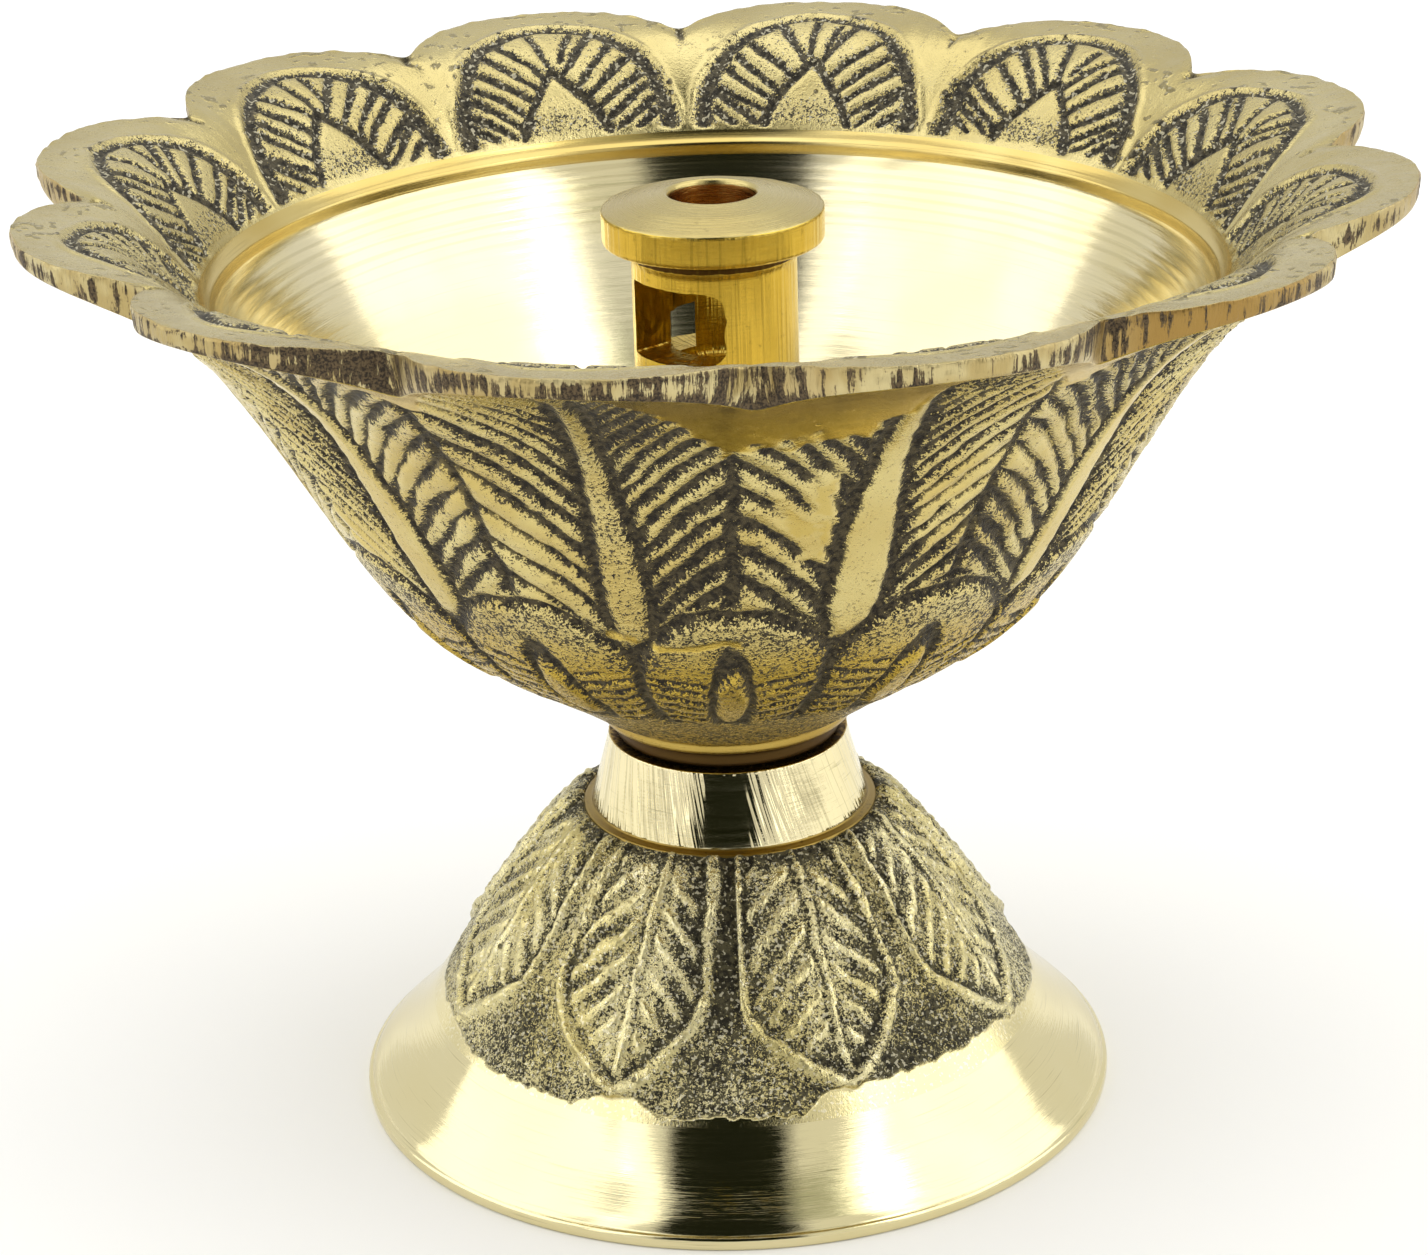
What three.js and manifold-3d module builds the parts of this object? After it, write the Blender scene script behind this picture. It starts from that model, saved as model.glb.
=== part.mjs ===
// Footed oil lamp (diya) in brass, with a scalloped bowl and a turned wick holder.
// Millimetres, +Z up. The origin is the centre of the ring that the foot stands on.
// Three pieces: a hollow pedestal with a tapped collar, a petal-rimmed oil bowl with a
// screwed spigot under it, and a wick holder that screws into the floor of the bowl.
import * as THREE from 'three';
import { mergeVertices } from 'three/addons/utils/BufferGeometryUtils.js';
import Module from 'manifold-3d';

// ---------- driving dimensions ----------
const FOOT_R = 28.8;            // outer radius of the foot
const FOOT_REST_R = 26.4;       // inner radius of the flat ring that it stands on
const COLLAR_Z0 = 22.9;         // foot of the turned collar
const COLLAR_Z1 = 28.5;         // top face of the collar
const COLLAR_R0 = 10.5;
const COLLAR_R1 = 9.0;
const SOCKET_R = 6.1;           // tapped hole through the collar, at its major radius
const SEAT_GAP = 0.3;           // clearance between seated faces
const SPIGOT_R = 5.8;           // screwed spigot under the bowl, at its major radius
const SPIGOT_LENGTH = 7.6;
const NECK_R = 8.5;             // short neck between the bowl and the collar
const BOWL_RING_R = 9.55;       // turned ring at the bottom of the bowl
const RIM_TIP_R = 50.0;         // tips of the petals
const RIM_NOTCH_R = 44.4;       // notches between the petals
const PETALS = 12;
const PETAL_PHASE_DEG = 3.0;    // angle of the first notch
const PETAL_ROUNDNESS = 2.5;    // higher is a blunter petal
const PETAL_ROOT_R = 37.1;      // turned step where the petals begin
const FLOOR_Z = 38.2;           // inside floor of the bowl, around the wick holder
const TAPPED_R = 3.3;           // blind tapped hole in the floor
const TAPPED_DEPTH = 7.4;
const STUD_R = 3.0;             // screwed stud of the wick holder
const STUD_LENGTH = 6.6;
const TUBE_R = 6.0;             // body of the wick holder
const TUBE_SHOULDER_R = 6.15;   // slightly larger land just under the flange
const FLANGE_R = 8.05;
const FLANGE_Z0 = 66.85;
const FLANGE_Z1 = 69.2;
const WICK_HOLE_Z = 70.3;       // rim of the wick hole
const WICK_BORE_R = 3.15;
const WICK_BORE_Z0 = 56.0;      // bottom of the bore
const WINDOW_Z0 = 58.9;         // oil window in the side of the wick holder
const WINDOW_Z1 = 64.4;
const WINDOW_DIR_DEG = 220;     // the way the window faces
const WINDOW_LEFT = 2.5;        // distance of its two walls from the axis
const WINDOW_RIGHT = 5.0;
const WINDOW_CORNER_R = 1.2;    // cutter radius at its right-hand corners
const BACK_SLOT = [-3.15, -1.85, 57.75, 60.9]; // small slot through the far wall: x from, to, z from, to
const SEGMENTS_FOOT = 72;
const SEGMENTS_BOWL = 96;       // 8 for each petal
const SEGMENTS_HOLDER = 40;

// ---------- surfaces of the bowl ----------
// Height of the inner face of the petals, and of their back, by radius.
const PETAL_FACE = [[37.1, 65.2], [38.8, 67.3], [40.8, 69.4], [42.6, 70.85], [44.4, 71.7], [47.2, 72.25], [50.0, 72.6]];
const PETAL_BACK = [[36.75, 61.5], [38.6, 63.8], [41.0, 66.2], [43.9, 68.5], [47.3, 70.3], [50.0, 71.35]];

function table(points, r) {
  if (r <= points[0][0]) return points[0][1];
  for (let i = 1; i < points.length; i++) {
    if (r <= points[i][0]) {
      const t = (r - points[i - 1][0]) / (points[i][0] - points[i - 1][0]);
      return points[i - 1][1] + t * (points[i][1] - points[i - 1][1]);
    }
  }
  return points[points.length - 1][1];
}

// Outline of the rim: round petals that meet in sharp notches.
function rimRadius(angleDeg) {
  const step = 360 / PETALS;
  let a = (angleDeg - PETAL_PHASE_DEG) % step;
  if (a < 0) a += step;
  const u = Math.abs(a - step / 2) / (step / 2);
  return RIM_NOTCH_R + (RIM_TIP_R - RIM_NOTCH_R) * (1 - Math.pow(u, PETAL_ROUNDNESS));
}

function lathe(points, segments, phaseDeg = 0) {
  const profile = points.map(([r, z]) => new THREE.Vector2(r, z));
  const geometry = new THREE.LatheGeometry(profile, segments, 0, Math.PI * 2);
  geometry.rotateX(Math.PI / 2);           // lathe axis from Y to Z
  geometry.rotateZ(THREE.MathUtils.degToRad(phaseDeg));
  return welded(geometry);
}

function welded(geometry) {
  geometry.deleteAttribute('normal');
  geometry.deleteAttribute('uv');
  const merged = mergeVertices(geometry, 1e-4);
  // drop triangles that the weld has collapsed, as at a point on the axis
  const index = merged.index.array;
  const kept = [];
  for (let i = 0; i < index.length; i += 3) {
    const [a, b, c] = [index[i], index[i + 1], index[i + 2]];
    if (a !== b && b !== c && c !== a) kept.push(a, b, c);
  }
  merged.setIndex(kept);
  return outward(merged);
}

// Faces point out when the signed volume is positive.
function outward(geometry) {
  const p = geometry.attributes.position;
  const index = geometry.index.array;
  const a = new THREE.Vector3(), b = new THREE.Vector3(), c = new THREE.Vector3();
  let volume = 0;
  for (let i = 0; i < index.length; i += 3) {
    a.fromBufferAttribute(p, index[i]);
    b.fromBufferAttribute(p, index[i + 1]);
    c.fromBufferAttribute(p, index[i + 2]);
    volume += a.dot(b.cross(c));
  }
  if (volume < 0) {
    const flipped = [];
    for (let i = 0; i < index.length; i += 3) flipped.push(index[i], index[i + 2], index[i + 1]);
    geometry.setIndex(flipped);
  }
  return geometry;
}

// ---------- manifold joins and cuts ----------
const wasm = await Module();
wasm.setup();

function solid(geometry) {
  return new wasm.Manifold(new wasm.Mesh({
    numProp: 3,
    vertProperties: Float32Array.from(geometry.attributes.position.array),
    triVerts: Uint32Array.from(geometry.index.array),
  }));
}

function surface(manifold) {
  const mesh = manifold.getMesh();
  const geometry = new THREE.BufferGeometry();
  const count = mesh.numVert ?? mesh.vertProperties.length / mesh.numProp;
  const position = new Float32Array(count * 3);
  for (let i = 0; i < count; i++) {
    for (let k = 0; k < 3; k++) position[i * 3 + k] = mesh.vertProperties[i * mesh.numProp + k];
  }
  geometry.setAttribute('position', new THREE.BufferAttribute(position, 3));
  geometry.setIndex(Array.from(mesh.triVerts));
  return geometry;
}

// ---------- pedestal base ----------
// A thin-walled casting: flared foot, leaf-covered cone and turned collar, hollow
// underneath, with the tapped hole for the bowl running down into the hollow.
function pedestalBase() {
  const points = [
    // standing ring and lip of the foot
    [FOOT_REST_R, 0], [FOOT_R - 0.25, 0], [FOOT_R, 0.25], [FOOT_R, 0.95], [FOOT_R - 0.35, 1.3],
    // flared foot and cone
    [27.2, 2.5], [25.8, 3.8], [24.5, 5.3], [23.5, 6.7], [22.5, 8.25], [20.55, 11.35], [18.5, 14.45],
    [16.3, 17.55], [14.2, 20.2], [12.3, 22.2], [11.45, 22.7],
    // ledge and collar
    [11.45, COLLAR_Z0], [COLLAR_R0, COLLAR_Z0 + 0.1], [COLLAR_R0 - 0.35, COLLAR_Z0 + 1.6],
    [COLLAR_R1 + 0.35, COLLAR_Z1 - 1.6], [COLLAR_R1, COLLAR_Z1],
    // tapped hole
    [SOCKET_R + 0.5, COLLAR_Z1], [SOCKET_R, COLLAR_Z1 - 0.5], [SOCKET_R, 18.9],
    // hollow underneath
    [7.4, 18.0], [10.2, 15.6], [13.3, 12.6], [16.2, 9.4], [18.6, 6.3], [20.8, 3.9], [23.4, 1.7], [25.7, 0.35],
  ];
  points.push([FOOT_REST_R, 0]);
  return lathe(points, SEGMENTS_FOOT);
}

// ---------- oil bowl ----------
// One casting: spigot, neck, ring, leaf-covered wall, petal rim, turned inside and a
// blind tapped hole in the middle of the floor.
function oilBowl() {
  const neckZ0 = COLLAR_Z1 + SEAT_GAP;
  const spigotZ0 = neckZ0 - SPIGOT_LENGTH;
  const points = [
    [0, spigotZ0], [SPIGOT_R - 0.7, spigotZ0], [SPIGOT_R, spigotZ0 + 0.7], [SPIGOT_R, neckZ0],
    [NECK_R, neckZ0], [NECK_R, 30.0], [BOWL_RING_R, 30.3], [BOWL_RING_R, 31.1],
    // wall outside
    [10.9, 31.8], [13.5, 33.7], [16.4, 35.5], [19.4, 37.6], [22.0, 39.6], [24.3, 41.8], [26.2, 44.2],
    [28.7, 48.1], [31.0, 52.1], [33.0, 55.6], [34.8, 58.5],
    // back of the petals, rim edge and face of the petals: see below
    ...PETAL_BACK.map(([r, z]) => [r, z]),
    ...[...PETAL_FACE].reverse(),
    // turned step and inside
    [36.3, 64.2], [36.1, 63.2], [34.0, 59.6], [31.2, 54.9], [28.3, 50.5], [25.2, 46.7], [21.8, 43.6],
    [17.6, 41.0], [12.8, 39.1], [8.6, FLOOR_Z], [TAPPED_R + 0.4, FLOOR_Z], [TAPPED_R, FLOOR_Z - 0.4],
    [TAPPED_R, FLOOR_Z - TAPPED_DEPTH + 1.2], [0, FLOOR_Z - TAPPED_DEPTH],
  ];
  const segments = SEGMENTS_BOWL;
  const geometry = lathe(points, segments, PETAL_PHASE_DEG);
  // Pull the petals in to the scalloped outline, sliding each point along its own face.
  const p = geometry.attributes.position;
  for (let i = 0; i < p.count; i++) {
    const x = p.getX(i), y = p.getY(i), z = p.getZ(i);
    const r = Math.hypot(x, y);
    if (r < PETAL_ROOT_R + 0.05 || z < 61.0) continue;
    const root = PETAL_ROOT_R;
    const k = (rimRadius(THREE.MathUtils.radToDeg(Math.atan2(y, x))) - root) / (RIM_TIP_R - root);
    const rr = root + (r - root) * k;
    const onFace = z > table(PETAL_BACK, r) + 0.4;
    // the back edge of the rim is dressed back a little where the metal is thick
    const edge = !onFace && r > RIM_TIP_R - 0.01 ? 0.6 * (RIM_TIP_R - rr) / (RIM_TIP_R - RIM_NOTCH_R) : 0;
    const zz = table(onFace ? PETAL_FACE : PETAL_BACK, rr - edge);
    p.setXYZ(i, x / r * (rr - edge), y / r * (rr - edge), zz);
  }
  return geometry;
}

// ---------- wick holder ----------
// Turned from bar: stud, tube, flange with a slightly domed top, blind wick bore, and a
// window milled into the side so that the tail of the wick can lie in the oil, with a
// small slot through the far wall.
function wickHolder() {
  const seatZ = FLOOR_Z + SEAT_GAP;
  const points = [
    [0, seatZ - STUD_LENGTH], [STUD_R - 0.5, seatZ - STUD_LENGTH], [STUD_R, seatZ - STUD_LENGTH + 0.5],
    [STUD_R, seatZ], [TUBE_R, seatZ], [TUBE_R, WINDOW_Z0 - 6], [TUBE_R, 65.55], [TUBE_SHOULDER_R, 65.65],
    [TUBE_SHOULDER_R, FLANGE_Z0 - 0.2], [FLANGE_R - 0.25, FLANGE_Z0 - 0.15], [FLANGE_R, FLANGE_Z0 + 0.1],
    [FLANGE_R, FLANGE_Z1 - 0.15], [FLANGE_R - 0.15, FLANGE_Z1], [5.6, 69.85],
    [WICK_BORE_R + 0.25, WICK_HOLE_Z], [WICK_BORE_R, WICK_HOLE_Z - 0.3],
    [WICK_BORE_R, WICK_BORE_Z0 + 1.4], [0, WICK_BORE_Z0],
  ];
  const body = solid(lathe(points, SEGMENTS_HOLDER));
  // cutter: from the middle of the bore out past the side of the tube
  const c = WINDOW_CORNER_R;
  const shape = new THREE.Shape();
  shape.moveTo(-WINDOW_LEFT, WINDOW_Z0);
  shape.lineTo(WINDOW_RIGHT - c, WINDOW_Z0);
  shape.absarc(WINDOW_RIGHT - c, WINDOW_Z0 + c, c, -Math.PI / 2, 0, false);
  shape.absarc(WINDOW_RIGHT - c, WINDOW_Z1 - c, c, 0, Math.PI / 2, false);
  shape.lineTo(-WINDOW_LEFT, WINDOW_Z1);
  shape.closePath();
  const block = new THREE.ExtrudeGeometry(shape, { depth: 9, bevelEnabled: false, curveSegments: 4 });
  block.rotateX(Math.PI / 2);              // shape's height to Z, extrusion to -Y
  block.rotateZ(Math.PI / 2);              // extrusion to +X, shape's width to +Y
  block.translate(-0.4, 0, 0);
  block.rotateZ(THREE.MathUtils.degToRad(WINDOW_DIR_DEG));
  const slot = new THREE.BoxGeometry(BACK_SLOT[1] - BACK_SLOT[0], 7, BACK_SLOT[3] - BACK_SLOT[2]);
  slot.translate((BACK_SLOT[0] + BACK_SLOT[1]) / 2, 3.5, (BACK_SLOT[2] + BACK_SLOT[3]) / 2);
  return surface(body.subtract(solid(welded(block))).subtract(solid(welded(slot))));
}

// ---------- assembly ----------
const castBrass = new THREE.MeshStandardMaterial({ color: 0xb9a45c, roughness: 0.42, metalness: 1.0 });
const bowlBrass = new THREE.MeshStandardMaterial({ color: 0xc6b064, roughness: 0.34, metalness: 1.0 });
const turnedBrass = new THREE.MeshStandardMaterial({ color: 0xd9ac45, roughness: 0.25, metalness: 1.0 });

const group = new THREE.Group();
function add(name, geometry, material) {
  geometry.computeVertexNormals();
  const mesh = new THREE.Mesh(geometry, material);
  mesh.name = name;
  group.add(mesh);
}
add('pedestal_base', pedestalBase(), castBrass);
add('oil_bowl', oilBowl(), bowlBrass);
add('wick_holder', wickHolder(), turnedBrass);

export default group;
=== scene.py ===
import math

import bmesh
import bpy
import numpy as np
from mathutils import Matrix, Vector


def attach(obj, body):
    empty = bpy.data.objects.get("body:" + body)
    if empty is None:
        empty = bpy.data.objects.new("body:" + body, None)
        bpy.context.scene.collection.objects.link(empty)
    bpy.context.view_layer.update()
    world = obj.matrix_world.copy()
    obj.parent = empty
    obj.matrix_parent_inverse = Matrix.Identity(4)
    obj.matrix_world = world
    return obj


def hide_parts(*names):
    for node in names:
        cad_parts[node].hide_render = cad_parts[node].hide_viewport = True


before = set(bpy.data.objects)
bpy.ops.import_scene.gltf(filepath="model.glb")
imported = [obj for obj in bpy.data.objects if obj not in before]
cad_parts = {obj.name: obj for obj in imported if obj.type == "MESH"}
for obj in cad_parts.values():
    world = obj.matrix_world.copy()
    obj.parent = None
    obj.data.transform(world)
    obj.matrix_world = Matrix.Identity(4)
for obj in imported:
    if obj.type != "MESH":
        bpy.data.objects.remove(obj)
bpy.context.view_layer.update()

# Everything below is worked out in millimetres and written to the meshes in metres.
MM = 0.001

# ---------------------------------------------------------------- numpy helpers


def lattice(ix, iy, seed):
    """A repeatable random number from 0 to 1 for each lattice point."""
    h = (ix.astype(np.int64) * 374761393 + iy.astype(np.int64) * 668265263 + seed * 974634777) & 0xFFFFFFFF
    h = ((h ^ (h >> 13)) * 1274126177) & 0xFFFFFFFF
    h = (h ^ (h >> 16)) & 0xFFFFFFFF
    return h / 4294967295.0


def noise(x, y, seed=0, wrap=None):
    """Smooth value noise from 0 to 1. x repeats every wrap cells."""
    x0, y0 = np.floor(x), np.floor(y)
    fx, fy = x - x0, y - y0
    fx, fy = fx * fx * (3 - 2 * fx), fy * fy * (3 - 2 * fy)
    x0, y0 = x0.astype(np.int64), y0.astype(np.int64)
    x1 = x0 + 1
    if wrap:
        x0, x1 = x0 % wrap, x1 % wrap
    a, b = lattice(x0, y0, seed), lattice(x1, y0, seed)
    c, d = lattice(x0, y0 + 1, seed), lattice(x1, y0 + 1, seed)
    return (a * (1 - fx) + b * fx) * (1 - fy) + (c * (1 - fx) + d * fx) * fy


def ring_noise(th, s, cell_deg, cell_s, seed, octaves=1):
    """Noise from -1 to 1 around the axis. th in degrees, s in millimetres."""
    total, weight, norm = 0.0, 1.0, 0.0
    for o in range(octaves):
        cells = max(int(round(360.0 / cell_deg * 2**o)), 1)
        total = total + weight * (noise(th / 360.0 * cells, s / cell_s * 2**o, seed + 17 * o, cells) * 2 - 1)
        norm += weight
        weight *= 0.5
    return total / norm


def smooth(a, b, x):
    t = np.clip((x - a) / (b - a), 0, 1)
    return t * t * (3 - 2 * t)


def cut(d, w):
    """Depth from 0 to 1 of a round-bottomed groove of half-width w at distance d."""
    t = np.clip(1 - np.abs(d) / w, 0, 1)
    return t * t * (3 - 2 * t)


def wrap_deg(a, period):
    return (a + period / 2) % period - period / 2


def chaikin(points, times=2):
    p = np.array(points, float)
    for _ in range(times):
        q = 0.75 * p[:-1] + 0.25 * p[1:]
        r = 0.25 * p[:-1] + 0.75 * p[1:]
        mid = np.empty((2 * len(q), 2))
        mid[0::2], mid[1::2] = q, r
        p = np.vstack([p[:1], mid, p[-1:]])
    return p


def lengths(p):
    return np.concatenate([[0], np.cumsum(np.hypot(*np.diff(p, axis=0).T))])


def resample(points, step, smooth_times=2):
    """Points along a profile at about even steps, and their distance along it."""
    p = chaikin(points, smooth_times) if smooth_times else np.array(points, float)
    s = lengths(p)
    n = max(int(round(s[-1] / step)), 1) + 1
    t = np.linspace(0, s[-1], n)
    return np.stack([np.interp(t, s, p[:, 0]), np.interp(t, s, p[:, 1])], 1), t


# ---------------------------------------------------------------- mesh building


class Surface:
    """Rows of points round the axis, joined into one mesh. cav: patina, and painted shade in a few places; pol: polish,
    tint: golden colour, each 0 to 1.
    """

    def __init__(self, columns):
        self.n = columns
        self.th = np.arange(columns) * 360.0 / columns
        self.cos, self.sin = np.cos(np.radians(self.th)), np.sin(np.radians(self.th))
        self.rows, self.cav, self.pol, self.tint, self.mats = [], [], [], [], []

    def add(self, r, z, mat, tint=None, cav=None, pol=None, dr=None, dz=None):
        """r and z are (rows) or (rows, columns) arrays; mat is the slot of the faces that start on these rows."""
        r = np.broadcast_to(np.asarray(r, float).reshape(len(r), -1), (len(r), self.n))
        z = np.broadcast_to(np.asarray(z, float).reshape(len(z), -1), (len(z), self.n))
        if dr is not None:
            r, z = r + dr, z + dz
        m = len(r)
        full = lambda v, d: np.full((m, self.n), d) if v is None else np.broadcast_to(np.asarray(v, float).reshape(m, -1), (m, self.n))
        self.rows.append(np.stack([r * self.cos, r * self.sin, z], -1))
        self.cav.append(full(cav, 0.0))
        self.pol.append(full(pol, 0.0))
        self.tint.append(full(tint, 0.0))
        self.mats += [mat] * m

    def build(self, name, materials, closed=False, cap_start=False, cap_end=False):
        p = np.concatenate(self.rows)
        cav, pol, tint = (np.concatenate(v) for v in (self.cav, self.pol, self.tint))
        m, n = p.shape[:2]
        verts = p.reshape(-1, 3)
        i = np.arange(m if closed else m - 1)[:, None]
        j = np.arange(n)[None, :]
        i2, j2 = (i + 1) % m, (j + 1) % n
        quads = np.stack([i * n + j, i * n + j2, i2 * n + j2, i2 * n + j], -1).reshape(-1, 4)
        qm = np.repeat(np.array(self.mats)[: len(i)], n)
        tris, tm = [], []
        extra = []
        if cap_start:
            extra.append(p[0].mean(0))
            c = len(verts) + len(extra) - 1
            tris += [(c, b, a) for a, b in zip(range(n), np.roll(range(n), -1))]
            tm += [self.mats[0]] * n
        if cap_end:
            extra.append(p[-1].mean(0))
            c = len(verts) + len(extra) - 1
            o = (m - 1) * n
            tris += [(c, o + a, o + b) for a, b in zip(range(n), np.roll(range(n), -1))]
            tm += [self.mats[-1]] * n
        k = len(extra)
        if k:
            verts = np.vstack([verts, np.array(extra)])
        pad = lambda v: np.concatenate([v.reshape(-1), np.zeros(k)])
        return raw_mesh(name, verts * MM, quads, np.array(tris, int).reshape(-1, 3), qm, tm, materials,
                        {"cav": pad(cav), "pol": pad(pol), "tint": pad(tint)})


def raw_mesh(name, verts, quads, tris, qm, tm, materials, attributes):
    mesh = bpy.data.meshes.new(name)
    mesh.vertices.add(len(verts))
    mesh.vertices.foreach_set("co", np.ascontiguousarray(verts, np.float32).ravel())
    loops = np.concatenate([quads.ravel(), tris.ravel()]).astype(np.int32)
    mesh.loops.add(len(loops))
    mesh.loops.foreach_set("vertex_index", loops)
    count = len(quads) + len(tris)
    mesh.polygons.add(count)
    start = np.concatenate([np.arange(len(quads)) * 4, len(quads) * 4 + np.arange(len(tris)) * 3]).astype(np.int32)
    mesh.polygons.foreach_set("loop_start", start)
    mesh.polygons.foreach_set("material_index", np.concatenate([qm, np.array(tm, int)]).astype(np.int32))
    mesh.polygons.foreach_set("use_smooth", np.ones(count, bool))
    for m in materials:
        mesh.materials.append(m)
    for key, value in attributes.items():
        a = mesh.attributes.new(key, "FLOAT", "POINT")
        a.data.foreach_set("value", value.astype(np.float32))
    mesh.update(calc_edges=True)
    mesh.validate()
    obj = bpy.data.objects.new(name, mesh)
    bpy.context.scene.collection.objects.link(obj)
    return obj


def join(objs, name):
    """Joins separate shells of one piece into one object."""
    bpy.ops.object.select_all(action="DESELECT")
    for o in objs:
        o.select_set(True)
    bpy.context.view_layer.objects.active = objs[0]
    bpy.ops.object.join()
    objs[0].name = name
    objs[0].data.name = name
    return objs[0]


# ---------------------------------------------------------------- materials


class Nodes:
    def __init__(self, name):
        self.mat = bpy.data.materials.new(name)
        self.mat.use_nodes = True
        self.t = self.mat.node_tree
        self.t.nodes.clear()
        self.out = self.t.nodes.new("ShaderNodeOutputMaterial")
        self.bsdf = self.t.nodes.new("ShaderNodeBsdfPrincipled")
        self.t.links.new(self.bsdf.outputs[0], self.out.inputs[0])
        self.coord = self.t.nodes.new("ShaderNodeTexCoord").outputs["Object"]

    def put(self, socket, value):
        if isinstance(value, bpy.types.NodeSocket):
            self.t.links.new(value, socket)
        elif value is not None:
            socket.default_value = value

    def math(self, op, a, b=None, c=None, clamp=False):
        n = self.t.nodes.new("ShaderNodeMath")
        n.operation, n.use_clamp = op, clamp
        for socket, v in zip(n.inputs, (a, b, c)):
            self.put(socket, v)
        return n.outputs[0]

    def attr(self, name):
        n = self.t.nodes.new("ShaderNodeAttribute")
        n.attribute_name = name
        return n.outputs["Fac"]

    def noise(self, scale, detail=2.0, rough=0.5, vector=None, distortion=0.0):
        n = self.t.nodes.new("ShaderNodeTexNoise")
        n.inputs["Scale"].default_value = scale
        n.inputs["Detail"].default_value = detail
        n.inputs["Roughness"].default_value = rough
        n.inputs["Distortion"].default_value = distortion
        self.put(n.inputs["Vector"], vector or self.coord)
        return n.outputs["Fac"]

    def cells(self, scale, vector=None):
        n = self.t.nodes.new("ShaderNodeTexVoronoi")
        n.inputs["Scale"].default_value = scale
        self.put(n.inputs["Vector"], vector or self.coord)
        return n.outputs["Distance"], n.outputs["Color"]

    def ramp(self, value, a, b, lo=0.0, hi=1.0):
        n = self.t.nodes.new("ShaderNodeMapRange")
        n.interpolation_type = "SMOOTHSTEP"
        self.put(n.inputs[0], value)
        for socket, v in zip(n.inputs[1:5], (a, b, lo, hi)):
            self.put(socket, v)
        return n.outputs[0]

    def mix(self, fac, a, b):
        n = self.t.nodes.new("ShaderNodeMix")
        n.data_type = "RGBA"
        self.put(n.inputs[0], fac)
        for socket, v in ((n.inputs[6], a), (n.inputs[7], b)):
            self.put(socket, (*v, 1.0) if isinstance(v, tuple) else v)
        return n.outputs[2]

    def polar(self, around, twist=0.0, along=1.0, lean=-0.83):
        """A vector that runs round the axis. around: features per radian. along: features per
        millimetre of the height plus lean times the radius. twist: radians per millimetre."""
        sep = self.t.nodes.new("ShaderNodeSeparateXYZ")
        self.put(sep.inputs[0], self.coord)
        x, y, z = sep.outputs[0], sep.outputs[1], sep.outputs[2]
        radius = self.math("SQRT", self.math("MULTIPLY_ADD", x, x, self.math("MULTIPLY", y, y)))
        level = self.math("MULTIPLY", self.math("MULTIPLY_ADD", radius, lean, z), 1000.0)
        angle = self.math("ARCTAN2", y, x)
        if twist:
            angle = self.math("MULTIPLY_ADD", level, twist, angle)
        comb = self.t.nodes.new("ShaderNodeCombineXYZ")
        self.put(comb.inputs[0], self.math("MULTIPLY", self.math("COSINE", angle), around))
        self.put(comb.inputs[1], self.math("MULTIPLY", self.math("SINE", angle), around))
        self.put(comb.inputs[2], self.math("MULTIPLY", level, along))
        return comb.outputs[0]

    def split(self, vector):
        """The third part of a vector."""
        n = self.t.nodes.new("ShaderNodeSeparateXYZ")
        self.put(n.inputs[0], vector)
        return n.outputs[2]

    def stretch(self, x, y, z):
        n = self.t.nodes.new("ShaderNodeMapping")
        n.inputs["Scale"].default_value = (x, y, z)
        self.put(n.inputs["Vector"], self.coord)
        return n.outputs[0]

    def bump(self, height, distance, strength=1.0, normal=None):
        n = self.t.nodes.new("ShaderNodeBump")
        n.inputs["Distance"].default_value = distance
        self.put(n.inputs["Strength"], strength)
        self.put(n.inputs["Height"], height)
        self.put(n.inputs["Normal"], normal)
        return n.outputs[0]

    def finish(self, color, rough, metal=1.0, normal=None):
        self.put(self.bsdf.inputs["Base Color"], color)
        self.put(self.bsdf.inputs["Roughness"], rough)
        self.put(self.bsdf.inputs["Metallic"], metal)
        self.put(self.bsdf.inputs["Normal"], normal)
        return self.mat


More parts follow.
